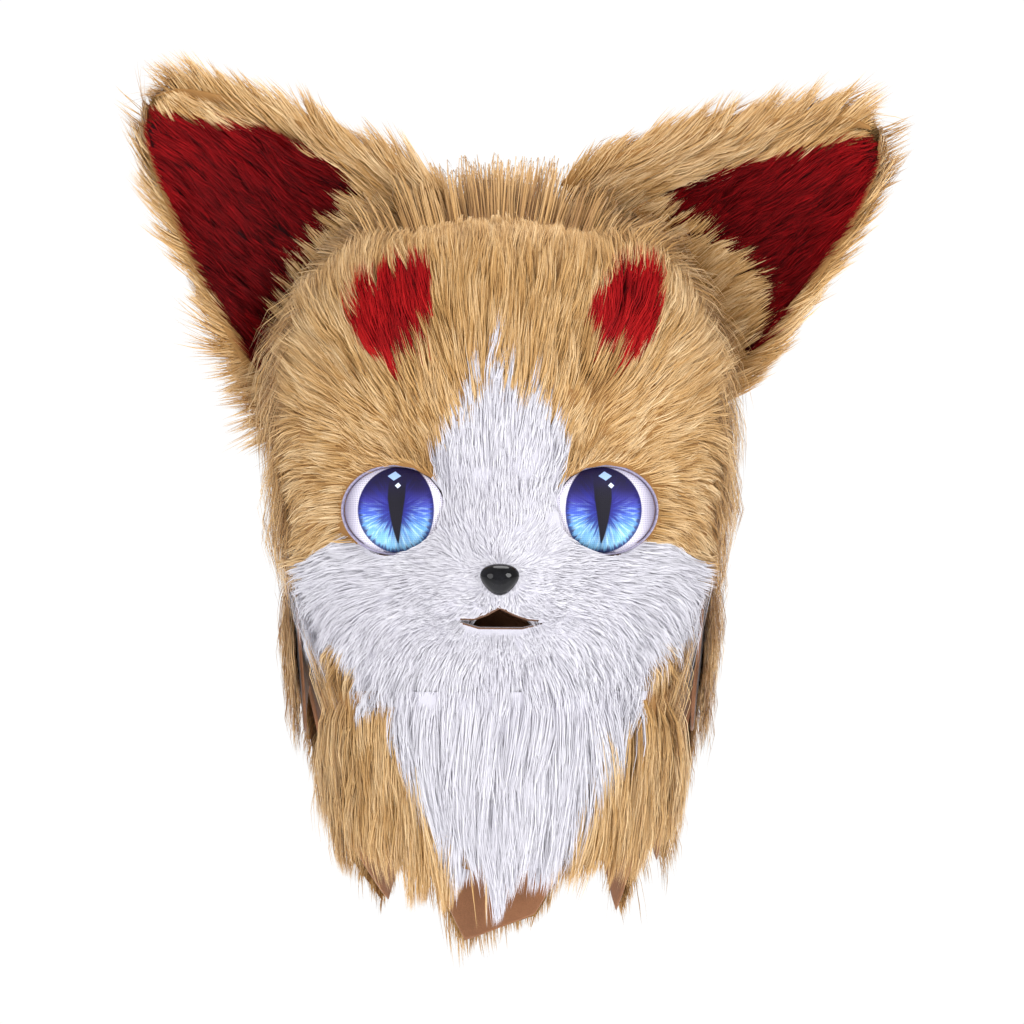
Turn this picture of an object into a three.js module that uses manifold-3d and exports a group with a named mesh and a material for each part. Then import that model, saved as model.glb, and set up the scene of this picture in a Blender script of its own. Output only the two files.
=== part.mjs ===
// Fursuit head of an animal with tall ears: a hollow moulded base dressed in panels of long-pile fur,
// with domed mesh eyes, a button nose, an open mouth, a bib in front and a pointed drape behind.
// Millimetres, +Z up, the face looks along -Y. The origin is the top of the hollow, where the
// wearer's crown sits.
import * as THREE from "three";
import { mergeVertices } from "three/addons/utils/BufferGeometryUtils.js";
import Module from "manifold-3d";

const wasm = await Module();
wasm.setup();

// Clearance between neighbouring pieces
const clearance = 0.3;

// Moulded base, measured from the origin
const crownRise = 50;
const rimDrop = 250;
const baseHalfWidth = 130;
const baseFront = 118;
const baseBack = 126;

// Hollow for the wearer's head
const hollowHalfWidth = 95;
const hollowFront = 100;
const hollowBack = 98;

// Muzzle, swelling out of the base round the nose
const noseDrop = 170;
const muzzleReach = 38;
const muzzleHalfWidth = 44;
const muzzleHalfHeight = 36;

// Fur pile over the base, and the line across the crown where the face panel ends
const facePile = 14;
const hoodPile = 17;
const hoodCrownPile = 30;
const crownLine = -36;
const seamDrop = 236;
const drapeTopDrop = 165;

// Eyes
const eyeSpacing = 126;
const eyeDrop = 129;
const eyeHalfWidth = 34;
const eyeHalfHeight = 27;
const eyeBulge = 10;
const eyeWall = 2;
const eyeTurn = 20;
const eyeInset = 6;
const eyeRimWidth = 2.2;
const eyeRimDepth = 4;
const eyeLedge = 5;

// Nose
const noseWidth = 23;
const noseHeight = 17.5;
const noseDepth = 11;
const noseSink = 4.5;
const nosePegRadius = 3;
const nosePegLength = 9;

// Mouth
const mouthDrop = 194;
const mouthWidth = 54;
const mouthHeight = 10;
const liningMargin = 8;
const liningWall = 1.5;

// Ears
const earHalfBase = 84;
const earTipHalf = 5;
const earTaper = 0.64;
const earCup = 34;
const earWall = 13;
const earLiningWall = 6;

// Markings on the face panel
const blazeHalfWidth = 38;
const blazeTopDrop = 55;
const muzzlePanelHalfWidth = 56;
const cheekHalfWidth = 150;
const cheekTopDrop = 148;
const browSpotDrop = 10;
const browSpotHeight = 56;

// Cloth and fur that hang from the base
const clothWall = 2;
const bibLength = 109;
const bibHalfSpan = 80;
const bibBottomHalfWidth = 100;
const bibBottomFront = 92;
const bibPile = 11;
const bibWhiteTop = 0.56;
const bibWhiteBottom = 0.22;
const drapeLength = 226;
const drapeHalfSpan = 101;
const drapeBottomHalfWidth = 96;
const drapeBottomDepth = 90;
const drapePile = 10;

// Locks of fur, at full length; each row of locks takes a share of these
const lockLength = 44;
const lockWidth = 26;
const lockThickness = 7;
const lockLift = 8;

const colours = {
  tan: 0xc9a06a,
  white: 0xeceaf0,
  red: 0xa3121c,
  suede: 0x8a5a3c,
  foam: 0x7a5238,
  eye: 0x3f55c4,
  rim: 0xd9d4dc,
  nose: 0x101012,
};

// The base from its rim (height 0) to its crown (height 1); widths and depths are shares of the base's
const baseSections = [
  { height: 0, width: 0.77, front: 0.83, back: 0.8 },
  { height: 0.08, width: 0.81, front: 0.88, back: 0.83 },
  { height: 0.167, width: 0.87, front: 0.94, back: 0.87 },
  { height: 0.283, width: 0.94, front: 0.99, back: 0.93 },
  { height: 0.403, width: 0.985, front: 1, back: 0.97 },
  { height: 0.567, width: 1, front: 0.985, back: 1 },
  { height: 0.733, width: 0.955, front: 0.92, back: 0.985 },
  { height: 0.85, width: 0.82, front: 0.8, back: 0.87 },
  { height: 0.927, width: 0.62, front: 0.61, back: 0.66 },
  { height: 0.977, width: 0.36, front: 0.36, back: 0.38 },
  { height: 1, width: 0, front: 0, back: 0 },
];

// The hollow, in the same way, as shares of the hollow's sizes
const hollowSections = [
  { height: 0, width: 0.93, front: 0.9, back: 0.94 },
  { height: 0.2, width: 0.95, front: 0.97, back: 0.97 },
  { height: 0.48, width: 1, front: 1, back: 1 },
  { height: 0.76, width: 0.94, front: 0.93, back: 0.97 },
  { height: 0.9, width: 0.72, front: 0.7, back: 0.76 },
  { height: 0.975, width: 0.38, front: 0.38, back: 0.4 },
  { height: 1, width: 0, front: 0, back: 0 },
];

// Left and right ear: inner and outer root and tip in front view, and how far each leans forward
const ears = [
  { side: "left", innerX: -42, innerZ: 72, outerX: -141, outerZ: -74, tipX: -208, tipZ: 114, tipY: -20 },
  { side: "right", innerX: 54, innerZ: 82, outerX: 150, outerZ: -62, tipX: 222, tipZ: 94, tipY: -56 },
];
const earRootInnerY = -10;
const earRootOuterY = 12;

// Outlines in front view. Across is a share of the half width, up a share of the height.
const blazeOutline = [
  { across: -0.8, up: 0 },
  { across: -0.8, up: 0.28 },
  { across: -1, up: 0.5 },
  { across: -0.7, up: 0.75 },
  { across: -0.1, up: 1 },
  { across: 0.5, up: 0.86 },
  { across: 1.1, up: 0.66 },
  { across: 0.95, up: 0.45 },
  { across: 0.85, up: 0.28 },
  { across: 0.85, up: 0 },
];
const browSpotOutline = [
  { across: -1, up: -0.1 },
  { across: -0.6, up: 0.55 },
  { across: 0.3, up: 1 },
  { across: 1, up: 0.9 },
  { across: 0.95, up: -0.6 },
  { across: 0.2, up: -1 },
  { across: -0.6, up: -0.8 },
];
const browSpots = [
  { side: "left", x: -64, halfWidth: 25 },
  { side: "right", x: 70, halfWidth: 20 },
];
const cheekOutline = [
  { across: 0.64, up: 1 },
  { across: 0.84, up: 0.82 },
  { across: 0.86, up: 0.64 },
  { across: 0.78, up: 0.42 },
  { across: 0.64, up: 0.3 },
  { across: 0.5, up: 0 },
];
const jowlOutline = [
  { across: 0.3, up: 0.3 },
  { across: 1, up: 0.6 },
  { across: 1, up: 0 },
  { across: 0.3, up: 0 },
];
const mouthOutline = [
  { across: -1, up: 0.05 },
  { across: -0.55, up: 0.02 },
  { across: -0.25, up: 0.32 },
  { across: 0, up: 0.7 },
  { across: 0.28, up: 0.32 },
  { across: 0.6, up: 0 },
  { across: 1, up: -0.1 },
  { across: 0.5, up: -0.42 },
  { across: -0.45, up: -0.4 },
];
const liningOutline = [
  { across: -1, up: 0.9 },
  { across: -0.3, up: 0.75 },
  { across: 0.15, up: 0.1 },
  { across: 1, up: -0.35 },
  { across: 1, up: -1 },
  { across: -1, up: -1 },
];
const noseOutline = [
  { across: -0.96, up: 0.28 },
  { across: -0.62, up: 0.86 },
  { across: 0, up: 1 },
  { across: 0.62, up: 0.86 },
  { across: 0.96, up: 0.28 },
  { across: 0.5, up: -0.66 },
  { across: 0, up: -1 },
  { across: -0.5, up: -0.66 },
];
const noseSections = [
  { depth: 0, size: 0.86 },
  { depth: 0.3, size: 1 },
  { depth: 0.7, size: 0.84 },
  { depth: 1, size: 0.42 },
];

// Hems: across is a share of the half span, down a share of the length
const bibHem = [
  { across: -1, down: 0.5 },
  { across: -0.8, down: 0.72 },
  { across: -0.45, down: 0.86 },
  { across: 0, down: 1 },
  { across: 0.45, down: 0.86 },
  { across: 0.8, down: 0.7 },
  { across: 1, down: 0.48 },
];
const drapeHem = [
  { across: -1, down: 0.3 },
  { across: -0.9, down: 0.43 },
  { across: -0.76, down: 0.3 },
  { across: -0.62, down: 0.69 },
  { across: -0.42, down: 0.89 },
  { across: -0.3, down: 0.69 },
  { across: -0.13, down: 1 },
  { across: 0.12, down: 0.93 },
  { across: 0.24, down: 0.76 },
  { across: 0.34, down: 0.74 },
  { across: 0.44, down: 0.92 },
  { across: 0.54, down: 0.68 },
  { across: 0.63, down: 0.78 },
  { across: 0.78, down: 0.3 },
  { across: 0.9, down: 0.43 },
  { across: 1, down: 0.3 },
];

// Rows of locks. On the head, turn is degrees from the front and height a share from rim to crown.
const hoodRows = [
  { height: 0.42, from: 108, to: 252, count: 6, size: 1.15 },
  { height: 0.62, from: 115, to: 245, count: 4, size: 1.25 },
  { height: 0.8, from: 125, to: 235, count: 3, size: 1.25 },
  { height: 0.93, from: 150, to: 210, count: 2, size: 1.1 },
];
const faceRows = [
  { height: 0.38, from: 70, to: 70, count: 1, size: 0.9 },
  { height: 0.54, from: 54, to: 72, count: 2, size: 0.95 },
  { height: 0.7, from: 52, to: 68, count: 2, size: 0.95 },
  { height: 0.86, from: 7, to: 56, count: 2, size: 0.95 },
];
const blazeRows = [
  { height: 0.53, from: -10, to: 12, count: 3, size: 0.75 },
  { height: 0.62, from: -5, to: 8, count: 2, size: 0.75 },
];
const cheekRows = [
  { height: 0.24, from: 56, to: 68, count: 2, size: 0.75 },
  { height: 0.17, from: 54, to: 68, count: 2, size: 0.75 },
  { height: 0.1, from: 50, to: 64, count: 2, size: 0.65 },
];
// On the bib and drape, from and to are shares of the panel's width, down a share of the way to the hem.
const bibWhiteRows = [
  { down: 0.3, from: 0.2, to: 0.8, count: 4, size: 0.9 },
  { down: 0.6, from: 0.15, to: 0.85, count: 3, size: 0.9 },
  { down: 0.88, from: 0.1, to: 0.9, count: 3, size: 0.85 },
];
const bibTanRows = [
  { down: 0.45, from: 0.3, to: 0.7, count: 2, size: 0.9 },
  { down: 0.88, from: 0.07, to: 0.93, count: 5, size: 0.8 },
];
const drapeRows = [
  { down: 0.25, from: 0.1, to: 0.9, count: 5, size: 1.15 },
  { down: 0.6, from: 0.22, to: 0.78, count: 5, size: 1.15 },
  { down: 0.93, from: 0.045, to: 0.955, count: 2, size: 0.6 },
  { down: 0.93, from: 0.25, to: 0.33, count: 2, size: 0.7 },
  { down: 0.93, from: 0.39, to: 0.48, count: 3, size: 0.7 },
  { down: 0.93, from: 0.7, to: 0.82, count: 3, size: 0.7 },
];
// On the ears, across is a share of the half width, along a share of the way to the tip.
const earRimRows = [
  { across: -1, from: 0.26, to: 0.9, count: 5, size: 0.66, out: -1 },
  { across: 1, from: 0.26, to: 0.9, count: 5, size: 0.66, out: 1 },
];
const earBackRows = [
  { across: -0.45, from: 0.3, to: 0.68, count: 2, size: 0.9 },
  { across: 0.45, from: 0.3, to: 0.68, count: 2, size: 0.9 },
];
const earLiningRows = [
  { across: -0.4, from: 0.36, to: 0.66, count: 2, size: 0.7 },
  { across: 0.35, from: 0.36, to: 0.66, count: 2, size: 0.7 },
];

// How a lock runs from its buried root to its tip, as shares of its length, lift and half width
const lockStations = [
  { along: -0.15, lift: -0.35, half: 0.6 },
  { along: 0.4, lift: 0.45, half: 1 },
];

const vector = (x, y, z) => new THREE.Vector3(x, y, z);
const radians = THREE.MathUtils.degToRad;

// A column of a table at any place in between its rows, on one smooth curve
function between(table, key, column, place) {
  const last = table.length - 1;
  let i = 0;
  while (i < last - 1 && table[i + 1][key] < place) i += 1;
  const slope = (k) => {
    const a = table[Math.max(k - 1, 0)];
    const b = table[Math.min(k + 1, last)];
    return (b[column] - a[column]) / (b[key] - a[key]);
  };
  const width = table[i + 1][key] - table[i][key];
  const t = THREE.MathUtils.clamp((place - table[i][key]) / width, 0, 1);
  const rise = t * t * (3 - 2 * t);
  return (
    table[i][column] * (1 - rise) +
    table[i + 1][column] * rise +
    width * (slope(i) * t * (1 - t) ** 2 - slope(i + 1) * t * t * (1 - t))
  );
}

// The same on straight lines, for a hem with points
function straight(table, key, column, place) {
  let i = 0;
  while (i < table.length - 2 && table[i + 1][key] < place) i += 1;
  const t = (place - table[i][key]) / (table[i + 1][key] - table[i][key]);
  return THREE.MathUtils.lerp(table[i][column], table[i + 1][column], t);
}

// A solid from points and triangles, turned the right way out
function closedSolid(points, triangles) {
  let volume = 0;
  for (const [a, b, c] of triangles) volume += points[a].dot(points[b].clone().cross(points[c]));
  const facing = volume < 0 ? triangles.map(([a, b, c]) => [a, c, b]) : triangles;
  return new wasm.Manifold(
    new wasm.Mesh({
      numProp: 3,
      vertProperties: new Float32Array(points.flatMap((p) => p.toArray())),
      triVerts: new Uint32Array(facing.flat()),
    }),
  );
}

function solidOf(geometry) {
  geometry.deleteAttribute("normal");
  geometry.deleteAttribute("uv");
  const merged = mergeVertices(geometry, 1e-4);
  return new wasm.Manifold(
    new wasm.Mesh({
      numProp: 3,
      vertProperties: merged.attributes.position.array,
      triVerts: new Uint32Array(merged.index.array),
    }),
  );
}

// A solid through rings of points, closed at each end on the middle of the ring or on a given tip
function loft(rings, tip) {
  const around = rings[0].length;
  const points = rings.flat();
  const triangles = [];
  for (let r = 0; r < rings.length - 1; r += 1) {
    for (let i = 0; i < around; i += 1) {
      const j = (i + 1) % around;
      const [a, b] = [r * around + i, r * around + j];
      triangles.push([a, b, b + around], [a, b + around, a + around]);
    }
  }
  for (const end of [0, rings.length - 1]) {
    const middle = points.length;
    const centre = rings[end].reduce((sum, p) => sum.add(p), vector(0, 0, 0)).divideScalar(around);
    points.push(end && tip ? tip : centre);
    for (let i = 0; i < around; i += 1) {
      const [a, b] = [end * around + i, end * around + ((i + 1) % around)];
      triangles.push(end ? [a, b, middle] : [b, a, middle]);
    }
  }
  return closedSolid(points, triangles);
}

// A wall between two offsets of a surface given by across, down and offset
function wall(surface, acrossPlaces, downPlaces, inner, outer) {
  const [wide, deep] = [acrossPlaces.length, downPlaces.length];
  const points = [inner, outer].flatMap((offset) =>
    downPlaces.flatMap((v) => acrossPlaces.map((u) => surface(u, v, offset))),
  );
  const at = (side, row, column) => side * wide * deep + row * wide + column;
  const triangles = [];
  const quad = (a, b, c, d) => triangles.push([a, b, c], [a, c, d]);
  for (let r = 0; r < deep - 1; r += 1) {
    for (let c = 0; c < wide - 1; c += 1) {
      quad(at(0, r, c), at(0, r + 1, c), at(0, r + 1, c + 1), at(0, r, c + 1));
      quad(at(1, r, c), at(1, r, c + 1), at(1, r + 1, c + 1), at(1, r + 1, c));
    }
    quad(at(0, r, 0), at(1, r, 0), at(1, r + 1, 0), at(0, r + 1, 0));
    quad(at(0, r, wide - 1), at(0, r + 1, wide - 1), at(1, r + 1, wide - 1), at(1, r, wide - 1));
  }
  for (let c = 0; c < wide - 1; c += 1) {
    quad(at(0, 0, c), at(0, 0, c + 1), at(1, 0, c + 1), at(1, 0, c));
    quad(at(0, deep - 1, c), at(1, deep - 1, c), at(1, deep - 1, c + 1), at(0, deep - 1, c + 1));
  }
  return closedSolid(points, triangles);
}

const steps = (from, to, count) =>
  Array.from({ length: count }, (_, i) => THREE.MathUtils.lerp(from, to, count > 1 ? i / (count - 1) : 0.5));

// The same places with the first and the last moved out by a margin
const spread = (places, margin) => [places[0] - margin, ...places.slice(1, -1), places.at(-1) + margin];

// An outline in front view, run through the model from front to back
function prism(outline, nearest = -400, furthest = 400) {
  const shape = new THREE.Shape(outline.map((p) => new THREE.Vector2(p.x, p.z)));
  const geometry = new THREE.ExtrudeGeometry(shape, { depth: furthest - nearest, bevelEnabled: false });
  geometry.rotateX(Math.PI / 2).translate(0, furthest, 0);
  return solidOf(geometry);
}

// An outline moved out by a margin all round
function widened(outline, margin) {
  const turning = outline.reduce((sum, p, i) => {
    const q = outline[(i + 1) % outline.length];
    return sum + p.x * q.z - q.x * p.z;
  }, 0);
  const way = Math.sign(turning);
  return outline.map((p, i) => {
    const last = outline[(i + outline.length - 1) % outline.length];
    const next = outline[(i + 1) % outline.length];
    const one = new THREE.Vector2(p.z - last.z, last.x - p.x).normalize();
    const two = new THREE.Vector2(next.z - p.z, p.x - next.x).normalize();
    const out = one.clone().add(two).normalize();
    out.multiplyScalar((way * margin) / Math.max(out.dot(one), 0.3));
    return { x: p.x + out.x, z: p.z + out.y };
  });
}

const scaled = (table, centreX, centreZ, halfWidth, height) =>
  table.map((p) => ({ x: centreX + p.across * halfWidth, z: centreZ + p.up * height }));

// A point of the head at a turn from the front in degrees and a height from rim to crown
function headPoint(turn, height, pile, crownPile) {
  const angle = radians(turn);
  const z = -rimDrop + height * (rimDrop + crownRise + crownPile);
  const x = (baseHalfWidth * between(baseSections, "height", "width", height) + pile) * Math.sin(angle);
  const forward = Math.cos(angle) > 0;
  const depth = forward
    ? baseFront * between(baseSections, "height", "front", height)
    : baseBack * between(baseSections, "height", "back", height);
  let y = -(depth + pile) * Math.cos(angle);
  if (forward) y -= muzzleSwell(x, z);
  return vector(x, y, z);
}

function muzzleSwell(x, z) {
  return muzzleReach * Math.exp(-((x / muzzleHalfWidth) ** 2) - ((z + noseDrop) / muzzleHalfHeight) ** 2);
}

// Turns that lie closer together in front, where the muzzle is
const turnsRound = (count) =>
  Array.from({ length: count }, (_, i) => {
    const even = (2 * Math.PI * i) / count;
    return THREE.MathUtils.radToDeg(even - 0.35 * Math.sin(even));
  });

const heightOf = (z) => (z + rimDrop) / (rimDrop + crownRise);
const crownShare = 0.995;

function headSolid(around, ringCount, pile, crownPile) {
  const turns = turnsRound(around);
  return loft(
    steps(0, 1, ringCount).map((share) => {
      const height = share * crownShare;
      return turns.map((turn) => headPoint(turn, height, pile, crownPile));
    }),
  );
}

function hollowSolid(inset) {
  const below = clearance;
  return loft(
    steps(0, 1, 8).map((share) =>
      steps(0, 340, 18).map((turn) => {
        const angle = radians(turn);
        const height = share * crownShare;
        const size = (column) => between(hollowSections, "height", column, height);
        const deep = Math.cos(angle) > 0 ? hollowFront * size("front") : hollowBack * size("back");
        const wide = hollowHalfWidth * size("width");
        const z = -rimDrop - below + height * (rimDrop + below - inset);
        return vector((wide - inset) * Math.sin(angle), (inset - deep) * Math.cos(angle), z);
      }),
    ),
  );
}

const around = 22;
const ringCount = 12;
const baseGrown = headSolid(around, ringCount, clearance, clearance);

// One lock of fur: a keeled leaf on a root, run along a heading and lifted off the surface
function lock(root, heading, out, size, grow) {
  const along = heading.clone().addScaledVector(out, -heading.dot(out)).normalize();
  const side = along.clone().cross(out).normalize();
  const place = (far, lift) =>
    root
      .clone()
      .addScaledVector(along, far * lockLength * size)
      .addScaledVector(out, lift * lockLift * size);
  const ring = ({ along: far, lift, half }) => {
    const middle = place(far, lift);
    const reach = (half * lockWidth * size) / 2 + 2 * grow;
    const thick = half * lockThickness * size + 2 * grow;
    middle.addScaledVector(out, -grow);
    return [
      middle.clone().addScaledVector(side, reach),
      middle.clone().addScaledVector(out, thick),
      middle.clone().addScaledVector(side, -reach),
    ];
  };
  return loft(lockStations.map(ring), place(1 + (3 * grow) / (lockLength * size), 1));
}

// The outward direction of a surface at a place
function outwardAt(surface, u, v, stepU, stepV) {
  const here = surface(u, v, 0);
  const one = surface(u + stepU, v, 0).sub(here);
  const two = surface(u, v + stepV, 0).sub(here);
  const out = one.cross(two).normalize();
  const lifted = surface(u, v, 1).sub(here);
  return out.dot(lifted) < 0 ? out.negate() : out;
}

// Which way the fur of each region lies
const comb = {
  hood: (p) => vector(p.x * 0.004, 0.75, -1),
  face: (p) => {
    const away = vector(p.x, 0, p.z + eyeDrop + 20).normalize();
    const fall = THREE.MathUtils.smoothstep(Math.abs(p.x), 60, baseHalfWidth);
    return away.multiplyScalar(1 - fall).add(vector(Math.sign(p.x) * 0.4, 0.3, -1).multiplyScalar(fall));
  },
  blaze: (p) => vector(p.x * 0.01, 0, 1),
  cheek: (p) => vector(Math.sign(p.x), 0.4, -0.45),
};

// Locks over part of the head, for each row of a table
function headLocks(rows, pile, crownPile, heading, side, grow) {
  const surface = (turn, height, offset) => headPoint(turn, height, pile + offset, crownPile + offset);
  return rows.flatMap((row) =>
    steps(row.from, row.to, row.count).map((turn) => {
      const root = surface(turn * side, row.height, -lockThickness / 3);
      const out = outwardAt(surface, turn * side, row.height, 1, 0.01);
      return lock(root, heading(root), out, row.size, grow);
    }),
  );
}

// Everything behind the line across the crown, or before it
const behindCrownLine = (from) =>
  solidOf(new THREE.BoxGeometry(800, 800, 800).translate(0, from + 400, 0));
const before = (line) => solidOf(new THREE.BoxGeometry(800, 800, 800).translate(0, line - 400, 0));
const above = (z) => solidOf(new THREE.BoxGeometry(800, 800, 800).translate(0, 0, z + 400));

const join = (solids) => wasm.Manifold.union(solids);

// Eyes: each in its own frame, x across, z up and -y out of the face, on a flat ledge in the base
function eyeRing(halfWidth, halfHeight, y) {
  return steps(0, 337.5, 16).map((turn) => {
    const angle = radians(turn);
    return vector(halfWidth * Math.sin(angle), y, halfHeight * Math.cos(angle));
  });
}

function eyeDome() {
  const shell = (inset) =>
    steps(0, 72, 4).map((tilt) => {
      const share = Math.cos(radians(tilt));
      const rise = (eyeBulge - inset) * Math.sin(radians(tilt));
      const margin = eyeRimWidth + clearance + inset;
      return eyeRing((eyeHalfWidth - margin) * share, (eyeHalfHeight - margin) * share, -rise);
    });
  return loft(shell(0)).subtract(loft([eyeRing(eyeHalfWidth - eyeRimWidth - clearance - eyeWall,
    eyeHalfHeight - eyeRimWidth - clearance - eyeWall, 1), ...shell(eyeWall)]));
}

function eyeRim() {
  const outer = loft([0, -eyeRimDepth].map((y) => eyeRing(eyeHalfWidth, eyeHalfHeight, y)));
  const inner = loft(
    [1, -eyeRimDepth - 1].map((y) => eyeRing(eyeHalfWidth - eyeRimWidth, eyeHalfHeight - eyeRimWidth, y)),
  );
  return outer.subtract(inner);
}

function eyePlace(side) {
  const seat = new THREE.Object3D();
  const turn = THREE.MathUtils.radToDeg(Math.asin(eyeSpacing / 2 / baseHalfWidth));
  const surface = headPoint(turn, heightOf(-eyeDrop), 0, 0);
  seat.rotation.z = side * radians(eyeTurn);
  const inward = vector(0, 1, 0).applyEuler(seat.rotation);
  seat.position.set((side * eyeSpacing) / 2, surface.y, -eyeDrop).addScaledVector(inward, eyeInset);
  seat.updateMatrix();
  return seat;
}

// The room that an eye takes out of the base and the fur, with its window through the wall
function eyeRoom(side) {
  const across = eyeHalfWidth + clearance;
  const up = eyeHalfHeight + clearance;
  const pocket = loft([eyeRing(across, up, clearance), eyeRing(across + 4, up + 4, -60)]);
  const window = loft([
    eyeRing(eyeHalfWidth - eyeLedge, eyeHalfHeight - eyeLedge, 60),
    eyeRing(eyeHalfWidth - eyeLedge, eyeHalfHeight - eyeLedge, -10),
  ]);
  return pocket.add(window).transform(eyePlace(side).matrix.toArray());
}

// Nose: a rounded triangle with a peg behind, on the front of the muzzle
function noseSolid(grow) {
  const rings = noseSections.map(({ depth, size }) =>
    widened(scaled(noseOutline, 0, 0, (size * noseWidth) / 2, (size * noseHeight) / 2), grow).map((p) =>
      vector(p.x, -depth * noseDepth - (depth ? grow : -grow), p.z),
    ),
  );
  const peg = new THREE.CylinderGeometry(nosePegRadius + grow, nosePegRadius + grow, nosePegLength, 16);
  peg.translate(0, nosePegLength / 2 - 1, 0);
  return loft(rings).add(solidOf(peg.toNonIndexed()).translate(0, grow, 0));
}

const muzzlePile = 6;
const noseFront = headPoint(0, heightOf(-noseDrop), muzzlePile, 0).y;
const noseSeat = [0, noseFront + noseSink, -noseDrop];

const mouthCut = prism(scaled(mouthOutline, 0, -mouthDrop, mouthWidth / 2, mouthHeight), -400, -hollowFront / 2);
const eyeRooms = join([eyeRoom(-1), eyeRoom(1)]);
const noseRoom = noseSolid(clearance).translate(noseSeat);

// Cloth that lines the mouth inside the hollow, higher on one side than on the other
function mouthLining() {
  const outline = scaled(liningOutline, 0, -mouthDrop, mouthWidth / 2 + liningMargin, mouthHeight + liningMargin);
  return hollowSolid(clearance).subtract(hollowSolid(clearance + liningWall)).intersect(prism(outline, -400, 0));
}

// Ears: a cupped triangle from its root on the head to its tip. The lining takes the middle places.
const earColumns = [-1, -0.76, -0.45, -0.1, 0.25, 0.55, 0.84, 1];
const earStations = [0, 0.06, 0.25, 0.45, 0.65, 0.82, 0.93, 1];

function earSurface(ear) {
  const inner = vector(ear.innerX, earRootInnerY, ear.innerZ);
  const outer = vector(ear.outerX, earRootOuterY, ear.outerZ);
  const tip = vector(ear.tipX, ear.tipY, ear.tipZ);
  const root = inner.clone().lerp(outer, 0.5);
  const chord = outer.clone().sub(inner).normalize();
  const facing = chord.clone().cross(tip.clone().sub(root)).normalize();
  if (facing.y > 0) facing.negate();
  return (across, along, offset) => {
    const rest = Math.max(1 - along, 0);
    const half = earTipHalf + (earHalfBase - earTipHalf) * rest ** earTaper;
    const cup = earCup * rest ** 0.7 * (1 - across * across);
    return root
      .clone()
      .lerp(tip, along)
      .addScaledVector(chord, half * across)
      .addScaledVector(facing, -cup - offset);
  };
}

function earLocks(surface, rows, offset, grow) {
  return rows.flatMap((row) =>
    steps(row.from, row.to, row.count).map((along) => {
      const root = surface(row.across * (row.out ? 0.94 : 1), along, offset);
      const ahead = surface(row.across, along + 0.02, offset).sub(surface(row.across, along, offset)).normalize();
      const sideways = surface(row.across + 0.02, along, offset).sub(surface(row.across, along, offset)).normalize();
      const back = surface(row.across, along, offset + 1).sub(surface(row.across, along, offset));
      const facing = offset > 0 ? back : back.negate();
      const heading = ahead.addScaledVector(sideways, 0.55 * (row.out ?? 0));
      const out = row.out ? facing.addScaledVector(sideways, 0.2 * row.out).normalize() : facing;
      return lock(root, heading, out, row.size, grow);
    }),
  );
}

function earShell(ear, grow) {
  const surface = earSurface(ear);
  const body = wall(surface, spread(earColumns, grow / 20), spread(earStations, grow / 30), -grow, earWall + grow);
  const rim = earLocks(surface, earRimRows, earWall / 2, grow);
  const back = earLocks(surface, earBackRows, earWall - 1, grow);
  return join([body, ...rim, ...back]);
}

function earLining(ear, grow) {
  const surface = earSurface(ear);
  const columns = spread(earColumns.slice(1, -1), grow / 20);
  const stations = spread(earStations.slice(1, -1), grow / 30);
  const body = wall(surface, columns, stations, -earLiningWall - clearance - grow, grow - clearance);
  return join([body, ...earLocks(surface, earLiningRows, -earLiningWall, grow)]);
}

// The bib in front and the drape behind: cloth on a narrowing half round, from a top line to a hem
function hangingSurface({ front, top, length, halfSpan, bottomHalfWidth, bottomDepth, hem }) {
  const height = heightOf(-top);
  const topHalfWidth = baseHalfWidth * between(baseSections, "height", "width", height);
  const topDepth =
    (front ? baseFront : baseBack) * between(baseSections, "height", front ? "front" : "back", height);
  const way = front ? -1 : 1;
  return (across, down, offset) => {
    const angle = radians(across * halfSpan);
    const share = down * straight(hem, "across", "down", across);
    const fall = share ** 1.6;
    const wide = THREE.MathUtils.lerp(topHalfWidth, bottomHalfWidth, fall) + offset;
    const deep = THREE.MathUtils.lerp(topDepth, bottomDepth, fall) + offset;
    return vector(wide * Math.sin(angle), way * deep * Math.cos(angle), -top - share * length);
  };
}

const seat = 2 * clearance;
const bibSurface = hangingSurface({
  front: true,
  top: seamDrop + clearance,
  length: bibLength,
  halfSpan: bibHalfSpan,
  bottomHalfWidth: bibBottomHalfWidth,
  bottomDepth: bibBottomFront,
  hem: bibHem,
});
const drapeSurface = hangingSurface({
  front: false,
  top: drapeTopDrop + clearance,
  length: drapeLength,
  halfSpan: drapeHalfSpan,
  bottomHalfWidth: drapeBottomHalfWidth,
  bottomDepth: drapeBottomDepth,
  hem: drapeHem,
});

// Places across a hem: its own points, and some in between so that the cloth stays round
const hemPlaces = (hem, from, to) => {
  const kept = hem.map((p) => p.across).filter((a) => a > from + 0.01 && a < to - 0.01);
  const all = [from, ...kept, to];
  return all.flatMap((a, i) => (i && a - all[i - 1] > 0.13 ? [(a + all[i - 1]) / 2, a] : [a]));
};

function cloth(surface, hem) {
  const places = hemPlaces(hem, -1, 1);
  return wall(surface, places, steps(0, 1, 5), seat, seat + clothWall).subtract(baseGrown);
}

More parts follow.
